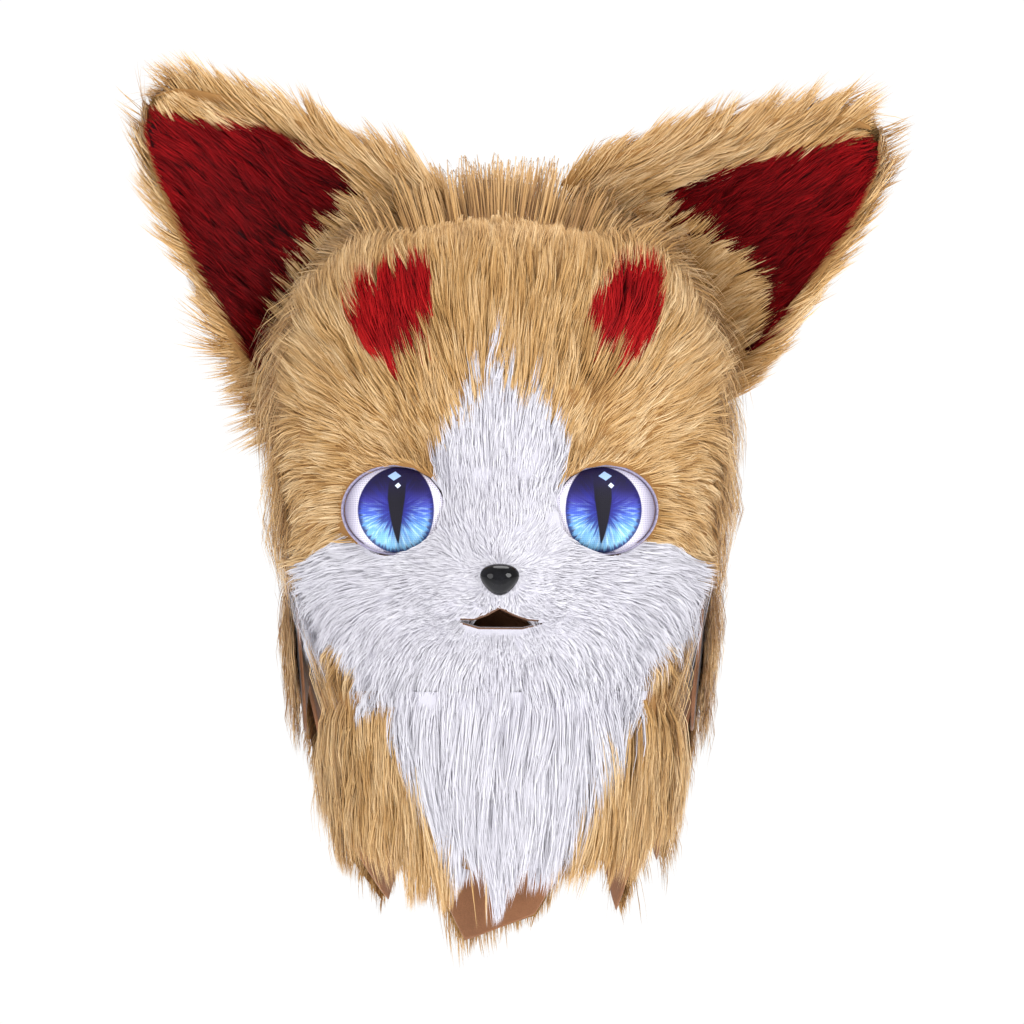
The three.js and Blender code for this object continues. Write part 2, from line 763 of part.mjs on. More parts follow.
// Fur on a panel of the cloth, between two edges that may change on the way down
function hangingFur(surface, columns, edges, pile, rows, grow) {
  const inner = seat + clothWall + 4 * clearance;
  const margin = grow / 100;
  const panel = (share, down, offset) => {
    const [from, to] = edges(down);
    const full = 0.35 + 0.65 * Math.sin(Math.PI * Math.min(down + 0.2, 0.9));
    const raised = offset > inner ? inner + (offset - inner) * full : offset;
    return surface(THREE.MathUtils.lerp(from - margin, to + margin, share), down, raised);
  };
  const body = wall(panel, columns, steps(0, 1, 5), inner, inner + pile + grow);
  const outer = (share, down, offset) => panel(share, down, inner + pile + offset);
  const locks = rows.flatMap((row) =>
    steps(row.from, row.to, row.count).map((share) => {
      const out = outwardAt(outer, share, row.down, 0.02, 0.02);
      return lock(outer(share, row.down, -lockThickness / 3), vector(0, 0, -1), out, row.size, grow);
    }),
  );
  return join([body, ...locks]);
}

// Keeps the one body that carries the piece, without slivers left by the cuts
function tidy(made) {
  const bodies = made.simplify(0.08).decompose();
  return bodies.reduce((most, body) => (body.volume() > most.volume() ? body : most));
}

const rough = (color) => new THREE.MeshStandardMaterial({ color, roughness: 0.9, metalness: 0 });
const smooth = (color, roughness) => new THREE.MeshStandardMaterial({ color, roughness, metalness: 0 });

function meshOf(name, made, material) {
  const { numProp, numVert, vertProperties, triVerts } = tidy(made).getMesh();
  const positions = new Float32Array(numVert * 3);
  for (let i = 0; i < numVert; i += 1) {
    positions.set(vertProperties.subarray(i * numProp, i * numProp + 3), i * 3);
  }
  const geometry = new THREE.BufferGeometry();
  geometry.setAttribute("position", new THREE.BufferAttribute(positions, 3));
  geometry.setIndex(new THREE.BufferAttribute(new Uint32Array(triVerts), 1));
  geometry.computeVertexNormals();
  const mesh = new THREE.Mesh(geometry, material);
  mesh.name = name;
  return mesh;
}

const head = new THREE.Group();
const taken = [];

// Adds a piece of fur cut clear of all that is already in place, and keeps its grown form for the next
function addFur(name, make, material, apart = []) {
  const others = [baseGrown, ...taken, ...apart];
  const made = others.reduce((rest, other) => rest.subtract(other), make(0));
  head.add(meshOf(name, made, material));
  taken.push(make(clearance));
}

head.add(meshOf("head_base", headSolid(around, ringCount, 0, 0)
  .subtract(hollowSolid(0)).subtract(eyeRooms).subtract(noseRoom).subtract(mouthCut), rough(colours.foam)));
head.add(meshOf("mouth_lining", mouthLining(), rough(colours.suede)));

for (const [side, name] of [[-1, "left"], [1, "right"]]) {
  const place = eyePlace(side);
  for (const piece of [
    meshOf("eye_" + name, eyeDome(), smooth(colours.eye, 0.5)),
    meshOf("eye_rim_" + name, eyeRim(), smooth(colours.rim, 0.3)),
  ]) {
    piece.position.copy(place.position);
    piece.rotation.copy(place.rotation);
    head.add(piece);
  }
}

const nose = meshOf("nose", noseSolid(0), smooth(colours.nose, 0.08));
nose.position.set(...noseSeat);
head.add(nose);

for (const ear of ears) {
  addFur("ear_shell_" + ear.side, (grow) => earShell(ear, grow), rough(colours.tan));
  addFur("ear_lining_" + ear.side, (grow) => earLining(ear, grow), rough(colours.red));
}

const furCuts = [eyeRooms, noseRoom, mouthCut];

// A marking: the part of the face panel inside an outline, with its locks. What comes after it is kept
// out of the whole depth of the fur there.
function marking(name, outline, pile, locks, material) {
  addFur(
    name,
    (grow) => {
      const deep = grow ? facePile + grow : pile;
      const coat = headSolid(around, ringCount, deep, deep);
      const body = coat.intersect(prism(widened(outline, grow), -400, crownLine));
      return join([body.intersect(above(-seamDrop - grow)), ...locks(grow)]);
    },
    material,
    furCuts,
  );
}

for (const spot of browSpots) {
  const outline = scaled(browSpotOutline, spot.x, -browSpotDrop, spot.halfWidth, browSpotHeight / 2);
  marking("brow_spot_" + spot.side, outline, facePile, () => [], rough(colours.red));
}

const blazeHeight = cheekTopDrop - blazeTopDrop;
marking(
  "blaze_fur",
  scaled(blazeOutline, 0, -cheekTopDrop, blazeHalfWidth, blazeHeight),
  facePile,
  (grow) => headLocks(blazeRows, facePile, facePile, comb.blaze, 1, grow),
  rough(colours.white),
);

const muzzleOutline = [
  { x: -muzzlePanelHalfWidth, z: -cheekTopDrop - clearance },
  { x: -muzzlePanelHalfWidth, z: -seamDrop - 10 },
  { x: muzzlePanelHalfWidth, z: -seamDrop - 10 },
  { x: muzzlePanelHalfWidth, z: -cheekTopDrop - clearance },
];
marking("muzzle_fur", muzzleOutline, muzzlePile, () => [], rough(colours.white));

for (const [side, name] of [[-1, "left"], [1, "right"]]) {
  const edge = muzzlePanelHalfWidth + clearance;
  const outer = scaled(cheekOutline, 0, -seamDrop - 10, side * cheekHalfWidth, seamDrop + 10 - cheekTopDrop);
  const outline = [{ x: side * edge, z: -cheekTopDrop }, ...outer, { x: side * edge, z: -seamDrop - 10 }];
  marking(
    "cheek_fur_" + name,
    outline,
    facePile,
    (grow) => headLocks(cheekRows, facePile, facePile, comb.cheek, side, grow),
    rough(colours.white),
  );
}

for (const [side, name] of [[-1, "left"], [1, "right"]]) {
  const outline = scaled(jowlOutline, 0, -seamDrop - 10, side * cheekHalfWidth, seamDrop + 10 - cheekTopDrop);
  marking("jowl_fur_" + name, outline, facePile, () => [], rough(colours.tan));
}

addFur(
  "face_fur",
  (grow) => {
    const locks = [-1, 1].flatMap((side) =>
      headLocks(faceRows, facePile, facePile, comb.face, side, grow));
    const coat = headSolid(around, ringCount, facePile + grow, facePile + grow);
    const region = coat.intersect(before(crownLine + grow)).intersect(above(-seamDrop - grow));
    return join([region, ...locks]);
  },
  rough(colours.tan),
  furCuts,
);

addFur(
  "hood_fur",
  (grow) => {
    const coat = headSolid(around, ringCount, hoodPile + grow, hoodCrownPile + grow)
      .intersect(behindCrownLine(crownLine - grow))
      .intersect(above(-drapeTopDrop - grow));
    return join([coat, ...headLocks(hoodRows, hoodPile, hoodCrownPile, comb.hood, 1, grow)]);
  },
  rough(colours.tan),
);

head.add(meshOf("bib_cloth", cloth(bibSurface, bibHem), rough(colours.suede)));
taken.push(wall(bibSurface, hemPlaces(bibHem, -1, 1), steps(0, 1, 5), 0, seat + clothWall));
const whiteEdge = (down) => THREE.MathUtils.lerp(bibWhiteTop, bibWhiteBottom, down);
addFur(
  "bib_fur_white",
  (grow) =>
    hangingFur(bibSurface, steps(0, 1, 9), (down) => [-whiteEdge(down), whiteEdge(down)], bibPile,
      bibWhiteRows, grow),
  rough(colours.white),
);
for (const [side, name] of [[-1, "left"], [1, "right"]]) {
  const edges = (down) => {
    const pair = [side * (whiteEdge(down) + 0.006), side * 0.98];
    return side < 0 ? pair.reverse() : pair;
  };
  addFur(
    "bib_fur_" + name,
    (grow) => hangingFur(bibSurface, steps(0, 1, 6), edges, bibPile, bibTanRows, grow),
    rough(colours.tan),
  );
}

head.add(meshOf("drape_cloth", cloth(drapeSurface, drapeHem), rough(colours.suede)));
taken.push(wall(drapeSurface, hemPlaces(drapeHem, -1, 1), steps(0, 1, 5), 0, seat + clothWall));
const drapeColumns = hemPlaces(drapeHem, -1, 1).map((across) => (across + 1) / 2);
addFur(
  "drape_fur",
  (grow) => hangingFur(drapeSurface, drapeColumns, () => [-0.995, 0.995], drapePile, drapeRows, grow),
  rough(colours.tan),
);

export default head;
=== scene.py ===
# The fursuit head of part.mjs, dressed: combed pile fur on every panel, printed mesh eyes, a moulded nose,
# suede backing cloth, and the stage it is photographed on. Everything is in metres.
import math

import bmesh
import bpy
import numpy as np
from bpy.props import FloatProperty, FloatVectorProperty, IntProperty, PointerProperty
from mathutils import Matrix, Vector
from mathutils.bvhtree import BVHTree
from mathutils.kdtree import KDTree


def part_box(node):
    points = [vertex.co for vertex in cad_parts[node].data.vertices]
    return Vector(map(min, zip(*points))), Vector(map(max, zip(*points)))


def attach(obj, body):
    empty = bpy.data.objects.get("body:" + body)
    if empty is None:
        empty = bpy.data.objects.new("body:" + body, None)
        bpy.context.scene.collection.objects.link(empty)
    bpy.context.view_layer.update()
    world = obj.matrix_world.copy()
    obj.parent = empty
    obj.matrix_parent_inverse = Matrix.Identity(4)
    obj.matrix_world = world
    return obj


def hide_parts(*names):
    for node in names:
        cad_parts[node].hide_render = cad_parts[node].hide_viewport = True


bl_info = {
    "name": "Fursuit Head",
    "version": (1, 0, 0),
    "blender": (4, 5, 0),
    "location": "3D View > Sidebar > Fursuit",
    "description": "Dresses the frame of a fursuit head with fur, eyes, nose and cloth",
    "category": "Object",
}

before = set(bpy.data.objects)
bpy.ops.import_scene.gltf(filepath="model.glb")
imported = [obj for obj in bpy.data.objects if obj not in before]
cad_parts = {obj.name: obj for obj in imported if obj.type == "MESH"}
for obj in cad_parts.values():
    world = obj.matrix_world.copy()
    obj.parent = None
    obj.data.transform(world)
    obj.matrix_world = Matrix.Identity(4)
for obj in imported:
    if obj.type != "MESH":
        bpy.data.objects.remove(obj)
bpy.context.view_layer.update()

MM = 0.001


def linear(code):
    """An sRGB hex colour as linear red, green, blue and alpha."""
    parts = [int(code[i : i + 2], 16) / 255 for i in (0, 2, 4)]
    return tuple(c / 12.92 if c <= 0.04045 else ((c + 0.055) / 1.055) ** 2.4 for c in parts) + (1.0,)


def colour(name, description, code):
    """A colour setting with its default as a hex value."""
    return FloatVectorProperty(
        name=name, description=description, subtype="COLOR", size=4, min=0, max=1, default=linear(code)
    )


def length(name, description, millimetres):
    """A length setting with its default in millimetres."""
    return FloatProperty(
        name=name, description=description, default=millimetres * MM, min=0, unit="LENGTH", precision=4
    )


class FursuitPile(bpy.types.PropertyGroup):
    """Sizes of the fur."""

    hair_width: length("Hair width", "Width of one drawn wisp of fibres; a single one is too fine to show",
                       0.5)
    face: length("Face pile", "Hair length on the temples, which the rest of the face keeps in step with", 40)
    hood: length("Hood pile", "Hair length on the crown, sides and back", 47)
    bib: length("Bib pile", "Hair length on the bib", 54)
    drape: length("Drape pile", "Hair length on the back drape", 46)
    ear: length("Ear pile", "Hair length on the backs and rims of the ears", 34)
    ear_lining: length("Ear lining pile", "Hair length inside the ears", 27)
    thickness: FloatProperty(name="Thickness", description="Factor on every hair's width", default=1.0,
                             min=0.1)
    fullness: FloatProperty(name="Fullness", description="Factor on the number of hairs", default=1.0,
                            min=0.05)
    seed: IntProperty(name="Seed", description="Changes how the hairs fall", default=7)


class FursuitColours(bpy.types.PropertyGroup):
    """Colours of the furs, cloth and trim."""

    # The deep colours give painted shade deep in the pile and at the roots, and the pale ones painted light at
    # the tips, besides random tone
    tan_dark: colour("Tan, deep", "Tan fibres deep in the pile", "74491F")
    tan_body: colour("Tan", "Most tan fibres", "C09459")
    tan_pale: colour("Tan, pale", "Tan fibres on top", "EBD0A4")
    white_dark: colour("White, deep", "White fibres deep in the pile", "C6C4CE")
    white_body: colour("White", "Most white fibres", "D4D2DA")
    white_pale: colour("White, pale", "White fibres on top", "E2E1E7")
    red_dark: colour("Red, deep", "Red fibres deep in the pile", "240002")
    red_body: colour("Red", "Most red fibres", "980A10")
    red_pale: colour("Red, pale", "Red fibres on top", "C4201F")
    suede: colour("Suede", "Backing cloth of the bib and drape", "8C5E3E")
    foam: colour("Foam", "The moulded base and the inside of the hollow", "6B4A35")
    floor: colour("Floor", "The stage's floor", "F4F4F6")


PILE, COLOURS = "fursuit_pile", "fursuit_colours"


def pile():
    return getattr(bpy.context.scene, PILE)


def colours():
    return getattr(bpy.context.scene, COLOURS)


# Meshes as arrays


def corners(obj):
    """The triangles of a mesh object as an array of (count, 3, 3) places."""
    mesh = obj.data
    mesh.calc_loop_triangles()
    co = np.empty(len(mesh.vertices) * 3, np.float32)
    mesh.vertices.foreach_get("co", co)
    tri = np.empty(len(mesh.loop_triangles) * 3, np.int32)
    mesh.loop_triangles.foreach_get("vertices", tri)
    return co.reshape(-1, 3)[tri].reshape(-1, 3, 3).astype(float)


def unit(v):
    return v / np.maximum(np.linalg.norm(v, axis=-1, keepdims=True), 1e-9)


def tree_of(tris):
    return BVHTree.FromPolygons([tuple(p) for p in tris.reshape(-1, 3)],
                                [(i, i + 1, i + 2) for i in range(0, len(tris) * 3, 3)])


def nearest(tree, points):
    """Nearest places on a surface, and its normals there."""
    found = [tree.find_nearest(Vector(p)) for p in points]
    return np.array([tuple(f[0]) for f in found]), np.array([tuple(f[1]) for f in found])


def face_normals(tris):
    return unit(np.cross(tris[:, 1] - tris[:, 0], tris[:, 2] - tris[:, 0]))


def areas(tris):
    return np.linalg.norm(np.cross(tris[:, 1] - tris[:, 0], tris[:, 2] - tris[:, 0]), axis=1) / 2


def divided(tris, longest):
    """The triangles with each that is longer than that split in four, until none is."""
    done = []
    while len(tris):
        edge = np.linalg.norm(tris - np.roll(tris, 1, axis=1), axis=2).max(1)
        done.append(tris[edge <= longest])
        a, b, c = (tris[edge > longest][:, i] for i in range(3))
        ab, bc, ca = (a + b) / 2, (b + c) / 2, (c + a) / 2
        tris = np.concatenate([np.stack(t, 1) for t in ((a, ab, ca), (ab, b, bc), (ca, bc, c), (ab, bc, ca))])
    return np.concatenate(done)


def backing_faces(node, carrier, reach=2.2 * MM):
    """The faces of a fur solid that lie on what carries it, turned to face outwards."""
    tris = corners(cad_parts[node])
    centres, normals = tris.mean(1), face_normals(tris)
    places, facing = nearest(tree_of(corners(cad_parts[carrier])), centres)
    close = np.linalg.norm(places - centres, axis=1) < reach
    return tris[close & ((normals * facing).sum(1) < -0.4)][:, ::-1]


def rounded_normals(points, tris, radius):
    """Normals at points, averaged over the surface round each."""
    centres, normals, weight = tris.mean(1), face_normals(tris), areas(tris)
    finder = KDTree(len(centres))
    for i, c in enumerate(centres):
        finder.insert(Vector(c), i)
    finder.balance()
    out = np.empty_like(points)
    for k, p in enumerate(points):
        near = finder.find_range(Vector(p), radius)
        if not near:
            near = [finder.find(Vector(p))]
        index = [n[1] for n in near]
        fall = np.array([1.02 * radius - min(n[2], radius) for n in near]) * weight[index]
        out[k] = (normals[index] * fall[:, None]).sum(0)
    return unit(out)


class Skin:
    """A surface that fur grows from: small triangles with rounded normals."""

    def __init__(self, tris, shape=None, radius=24 * MM, longest=9 * MM):
        self.tris = divided(tris, longest)
        flat = np.round(self.tris.reshape(-1, 3), 6)
        self.points, self.index = np.unique(flat, axis=0, return_inverse=True)
        self.index = self.index.reshape(-1, 3)
        around = divided(tris if shape is None else shape, longest)
        self.normals = rounded_normals(self.points, around, radius)
        self.area = areas(self.tris)

    def scatter(self, count, rng, weight=None):
        """Random roots with their normals, spread by area or by the given weights."""
        weight = self.area if weight is None else weight
        pick = rng.choice(len(self.tris), count, p=weight / weight.sum())
        a, b = rng.random((2, count))
        over = a + b > 1
        a[over], b[over] = 1 - a[over], 1 - b[over]
        weights = np.stack([1 - a - b, a, b], 1)[:, :, None]
        roots = (self.tris[pick] * weights).sum(1)
        return roots, unit((self.normals[self.index[pick]] * weights).sum(1))


def waves(points, scale, seed):
    """Smooth noise from -1 to 1 over places, with features about that size."""
    rng = np.random.default_rng(seed)
    total = np.zeros(len(points))
    for _ in range(7):
        direction = unit(rng.normal(size=3))
        total += np.sin(points @ direction * (2 * math.pi / (scale * rng.uniform(0.8, 2.0)))
                        + rng.uniform(0, 6.3))
    return total / 3.2


def turned(v, axis, angle):
    """Vectors turned about their axes by angles."""
    c, s = np.cos(angle)[:, None], np.sin(angle)[:, None]
    return v * c + np.cross(axis, v) * s + axis * (axis * v).sum(1)[:, None] * (1 - c)


def along(v, normal):
    """The part of each vector that lies in the surface, at unit length."""
    return unit(v - normal * (v * normal).sum(1)[:, None])


def step(x, low, high):
    t = np.clip((x - low) / (high - low), 0, 1)
    return t * t * (3 - 2 * t)


# Eyes: each sits in its own frame, turned outwards, as its rim in the frame shows

EYE_TURN = math.radians(20)
EYE_HALF = (34 * MM, 27 * MM)
EYE_BULGE = 10 * MM
EYE_PADDING = 9 * MM
EYE_RIM = 1.5 * MM


class Eye:
    def __init__(self, side, name):
        low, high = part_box("eye_rim_" + name)
        middle = (low + high) / 2
        turn = side * EYE_TURN
        self.side, self.name = side, name
        self.across = np.array([math.cos(turn), math.sin(turn), 0])
        self.out = np.array([math.sin(turn), -math.cos(turn), 0])
        self.up = np.array([0, 0, 1.0])
        self.centre = np.array(middle) - self.out * 2 * MM

    def place(self, x, out, z, padding=0.0):
        """Places from the eye's own frame, in the object's. Padding lets its inner side out to the fur."""
        out = out + padding * step(-np.asarray(x, float) * self.side, 4 * MM, 33 * MM)
        x, out, z = (np.asarray(v, float)[..., None] for v in (x, out, z))
        return self.centre + x * self.across + out * self.out + z * self.up

    def spread(self, points):
        """How far places lie from the middle of the eye, across it, up it and as a share of its outline."""
        rel = points - self.centre
        x, z = rel @ self.across, rel @ self.up
        wide = EYE_HALF[0] * np.where(x * self.side > 0, 1.0, 0.97 - 0.1 * step(z, -2 * MM, 14 * MM))
        high = EYE_HALF[1] * np.where(z > 0, 0.9, 0.95)
        r = np.maximum(np.hypot(x / wide, z / high), 1e-3)
        return x, z, np.where(rel @ self.out > -12 * MM, r, 9)

    def cleared(self, points):
        """The points moved out sideways where they would cover the eye."""
        x, z, r = self.spread(points)
        push = np.where(r < 1, 1 / r - 1, 0)[:, None]
        return points + push * (x[:, None] * self.across + z[:, None] * self.up)


EYES = [Eye(-1, "left"), Eye(1, "right")]
NOSE = np.array(sum(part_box("nose"), Vector()) / 2)
# Half of the oval round the nose that hairs are kept off
NOSE_CLEARING = np.array((13.2, 10.4)) * MM
# Rounding draws the nose in: how far it is let out again across and up, to the size it shows in front
NOSE_LET_OUT = (1.27, 1.22)
MOUTH = np.array([0, NOSE[1], -194 * MM])
# The upper and the lower edge of the mouth: distances from its middle and the heights there, in millimetres
MOUTH_EDGES = (
    ((-27, -15, -7, 0, 7.5, 16, 27), (1.4, 1.2, 4.2, 8.0, 4.2, 1.0, 0)),
    ((-27, -12, 13.5, 27), (-0.6, -5.0, -5.2, -2.0)),
)


def at_mouth(points, margin=0.0):
    """Whether places are in the mouth, a slit with a peak in the middle, and its two edges there."""
    x, z = (points[:, 0] - MOUTH[0]) / MM, (points[:, 2] - MOUTH[2]) / MM
    top, bottom = (np.interp(x, *edge) for edge in MOUTH_EDGES)
    inside = (np.abs(x) < 27.5 + margin) & (z < top + margin) & (z > bottom - margin)
    return inside & (points[:, 1] < MOUTH[1] + 30 * MM), top, bottom


def openings_cleared(points, roots):
    """Keeps hairs off the eyes, the nose and the mouth."""
    for eye in EYES:
        points = eye.cleared(points)
    half = NOSE_CLEARING
    x, z = (points[:, 0] - NOSE[0]) / half[0], (points[:, 2] - NOSE[2]) / half[1]
    r = np.maximum(np.hypot(x, z), 1e-3)
    push = np.where((r < 1) & (points[:, 1] < NOSE[1] + 30 * MM), 1 / r - 1, 0)
    points = points + np.stack([x * half[0], x * 0, z * half[1]], 1) * push[:, None]
    inside, top, bottom = at_mouth(points)
    upper = roots[:, 2] > MOUTH[2] - 1.5 * MM
    points[inside, 2] = MOUTH[2] + np.where(upper, top, bottom)[inside] * MM
    return points


# Hair: a short ribbon along a bent line, set on each root by a node tree

STRANDS = {
    "short strand": ((1, 0), (0.86, 0.48)),
    "long strand": ((1, 0), (0.94, 0.34), (0.66, 0.7)),
}


def strand_object(name):
    """One hair as a ribbon that ends in a point, with how far along and across it each corner is."""
    found = bpy.data.objects.get(name)
    if found:
        return found
    rows = STRANDS[name]
    places = [(side * half, at) for half, at in rows for side in (-1, 1)] + [(0, 1)]
    last = len(places) - 1
    faces = [(k, k + 1, k + 3, k + 2) for k in range(0, last - 2, 2)] + [(last - 2, last - 1, last)]
    points = [(a, b, 0) for a, b in places]
    return link(mesh_object(name, points, faces,
                            {"across": [p[0] for p in places], "along": [p[1] for p in places]}))


def fill(tree, node, values):
    """Sets a node's inputs, by name or number, to values or links."""
    for key, value in values.items():
        if isinstance(value, bpy.types.NodeSocket):
            tree.links.new(value, node.inputs[key])
        else:
            node.inputs[key].default_value = value


# The setting that the word after a node's kind gives is the first of these that it has
MODES = ("operation", "interpolation_type", "data_type")
SMOOTH, MIX = "MapRange:SMOOTHSTEP", "Mix:RGBA"


def add(tree, kind, *values, out=0, stops=(), **settings):
    """Adds a node with its settings and links, and gives one of its outputs.

    A kind such as Math:ADD names a shader node and its mode. Values go to its inputs in order, or by name or
    number from a dict. A ramp's stops are its positions and colours.
    """
    kind, _, mode = kind.partition(":")
    node = tree.nodes.new(kind if "Node" in kind else "ShaderNode" + kind)
    if mode:
        setattr(node, next(key for key in MODES if hasattr(node, key)), mode)
    for key, value in settings.items():
        setattr(node, key, value)
    fill(tree, node, values[0] if values and isinstance(values[0], dict) else dict(enumerate(values)))
    if stops:
        elements = node.color_ramp.elements
        while len(elements) < len(stops):
            elements.new(0.5)
        for element, (position, shade) in zip(elements, stops):
            element.position, element.color = position, shade
    return node.outputs[out] if node.outputs else node


def hair_tree():
    """Sets a hair on each point, bends it from root to tip, adds the undercoat and realizes it all."""
    tree = bpy.data.node_groups.new("combed pile", "GeometryNodeTree")
    for name, kind, default in (
        ("Geometry", "Geometry", None), ("Strand", "Object", None), ("Undercoat", "Object", None),
        ("Fibre", "Material", None), ("Thickness", "Float", 1.0), ("Crimp", "Float", 0.25 * MM),
        ("Seed", "Int", 0),
    ):
        socket = tree.interface.new_socket(name, in_out="INPUT", socket_type="NodeSocket" + kind)
        if default is not None:
            socket.default_value = default
    tree.interface.new_socket("Geometry", in_out="OUTPUT", socket_type="NodeSocketGeometry")
    given = add(tree, "NodeGroupInput").node.outputs
    read = "GeometryNodeInputNamedAttribute:"
    number = {name: add(tree, read + "FLOAT", {"Name": name}) for name in ("along", "across", "width")}
    place = {name: add(tree, read + "FLOAT_VECTOR", {"Name": name})
             for name in ("root", "tip", "bend", "side")}
    strand, coat = (add(tree, "GeometryNodeObjectInfo", {"Object": given[name]}, out="Geometry")
                    for name in ("Strand", "Undercoat"))
    hairs = add(tree, "GeometryNodeInstanceOnPoints", {"Points": given["Geometry"], "Instance": strand})
    hairs = add(tree, "GeometryNodeRealizeInstances", hairs)
    # Each hair is a curve from its root by its bend to its tip, and its ribbon is as wide as its side says
    t = number["along"]
    rest = add(tree, "Math:SUBTRACT", 1.0, t)
    width = add(tree, "Math:MULTIPLY", number["across"], number["width"])
    share = {
        "root": add(tree, "Math:MULTIPLY", rest, rest),
        "tip": add(tree, "Math:MULTIPLY", t, t),
        "bend": add(tree, "Math:MULTIPLY", 2.0, add(tree, "Math:MULTIPLY", t, rest)),
        "side": add(tree, "Math:MULTIPLY", width, given["Thickness"]),
    }
    line = (0, 0, 0)
    for name, factor in share.items():
        line = add(tree, "VectorMath:ADD", line,
                   add(tree, "VectorMath:SCALE", {0: place[name], "Scale": factor}))
    shake = add(tree, "FunctionNodeRandomValue:FLOAT_VECTOR",
                {0: (-1, -1, -1), 1: (1, 1, 1), "Seed": given["Seed"]})
    crimp = add(tree, "Math:MULTIPLY", given["Crimp"], t)
    shake = add(tree, "VectorMath:SCALE", {0: shake, "Scale": crimp})
    hairs = add(tree, "GeometryNodeSetPosition", {"Geometry": hairs, "Position": line, "Offset": shake})
    both = add(tree, "GeometryNodeJoinGeometry", hairs)
    tree.links.new(coat, both.node.inputs[0])
    both = add(tree, "GeometryNodeRealizeInstances", both)
    both = add(tree, "GeometryNodeSetMaterial", {"Geometry": both, "Material": given["Fibre"]})
    add(tree, "NodeGroupOutput", both)
    return tree


def link(obj):
    bpy.context.scene.collection.objects.link(obj)
    return obj


def mesh_object(name, points, faces, values=None):
    """A mesh object from arrays, with values kept for each point."""
    mesh = bpy.data.meshes.new(name)
    faces = faces.tolist() if isinstance(faces, np.ndarray) else list(faces)
    mesh.from_pydata(np.asarray(points).tolist(), [], faces)
    for key, value in (values or {}).items():
        value = np.asarray(value, np.float32)
        layer = mesh.attributes.new(key, "FLOAT_VECTOR" if value.ndim == 2 else "FLOAT", "POINT")
        layer.data.foreach_set("vector" if value.ndim == 2 else "value", value.ravel())
    return bpy.data.objects.new(name, mesh)


def finished(piece, nodes):
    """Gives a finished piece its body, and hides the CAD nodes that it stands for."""
    if piece.name not in bpy.context.scene.collection.objects:
        link(piece)
    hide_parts(*nodes)
    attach(piece, "root")
    return piece


class Comb:
    """How fur lies: its flow over places and normals, its length and lift, and how it gathers in locks."""

    def __init__(self, flow, reach, lift, lock=9, gather=0.5, swing=5, hug=0.5, slack=5, width=1.0):
        self.flow, self.reach, self.lift = flow, reach, lift
        self.lock, self.gather, self.swing = lock, gather, swing
        self.hug, self.slack, self.width = hug, slack, width


def as_array(value, points):
    return value(points) if callable(value) else np.full(len(points), float(value))


def owners(points, picked):
    """For each point, which of the picked ones is nearest."""
    finder = KDTree(len(picked))
    for i, p in enumerate(points[picked]):
        finder.insert(Vector(p), i)
    finder.balance()
    return np.array([finder.find(Vector(p))[1] for p in points])


def combed(roots, normals, area, comb, rng, hold=None, limit=None, clear=None):
    """Bends, tips, sides, widths and tints for hairs on the roots."""
    many = len(roots)
    reach, lift = as_array(comb.reach, roots), as_array(comb.lift, roots)
    lay = along(comb.flow(roots, normals), normals)
    angle = rng.normal(0, 1.3, many) + comb.swing * waves(roots, 45 * MM, 11)
    stretch, tone, pull = rng.uniform(0.74, 1.1, many), np.zeros(many), np.zeros((many, 3))
    # Small locks within large ones
    for size, share in ((comb.lock, 0.66), (comb.lock * 2.4, 0.34)):
        picked = rng.choice(many, min(max(int(area / (size * MM) ** 2), 8), many), replace=False)
        owner = owners(roots, picked)
        angle += rng.normal(0, comb.swing, len(picked))[owner]
        stretch *= rng.normal(1, 0.1, len(picked)).clip(0.75, 1.25)[owner]
        lift = lift * rng.normal(1, 0.16, len(picked)).clip(0.6, 1.4)[owner]
        tone += rng.random(len(picked))[owner] * share
        pull += (roots[picked][owner] - roots) * (comb.gather * share * rng.uniform(0.5, 1.3, many))[:, None]
    lay = turned(lay, normals, np.radians(angle))
    # Deep hairs lie low, those on top stand higher; deep ones are tinted darker and those on top paler, as
    # painted shade down in the pile
    depth = rng.random(many)
    rise = (lift * (0.35 + 0.85 * depth))[:, None] * normals
    run = lay * (reach * stretch)[:, None]
    bends, tips = roots + run * 0.42 + rise * 1.1 + pull * 0.45, roots + run + rise * 0.65 + pull
    if hold is not None:
        on, facing = nearest(hold, tips)
        hug = as_array(comb.hug, roots)[:, None]
        tips = tips * (1 - hug) + (on + facing * (lift * (0.25 + 0.6 * depth))[:, None]) * hug
    tips += rng.normal(0, 0.016, tips.shape) * reach[:, None]
    if clear is not None:
        bends, tips = clear(bends, roots), clear(tips, roots)
    if limit is not None:
        slack = as_array(comb.slack, roots) * MM * rng.uniform(0.2, 1.5, many)
        bends, tips = trimmed(roots, bends, tips, limit, slack)
    line = unit(tips - roots)
    side = unit(np.cross(line, normals))
    side = turned(side, line, rng.normal(0, 0.3, many))
    width = pile().hair_width / 2 * as_array(comb.width, roots) * rng.uniform(0.6, 1.25, many)
    # Painted shade: deep hairs take a darker tint and those on top a paler one; the rest of the tint is random
    # tone of locks and hairs
    tint = 0.5 * tone + 0.36 * depth + 0.14 * rng.random(many)
    return {"root": roots, "bend": bends, "tip": tips, "side": side, "width": width, "tint": tint,
            "lean": normals,
            "lock": tone}


def trimmed(roots, bends, tips, limit, slack):
    """Shortens the hairs whose tips stand further out of the solids than the slack."""
    still = np.arange(len(roots))
    for _ in range(7):
        places, facing = nearest(limit, tips[still])
        out = tips[still] - places
        far = np.linalg.norm(out, axis=1)
        still = still[((out * facing).sum(1) > -0.7 * far) & (far > slack[still])]
        if not len(still):
            break
        r = roots[still]
        bends[still], tips[still] = r + (bends[still] - r) * 0.84, r + (tips[still] - r) * 0.84
    return bends, tips


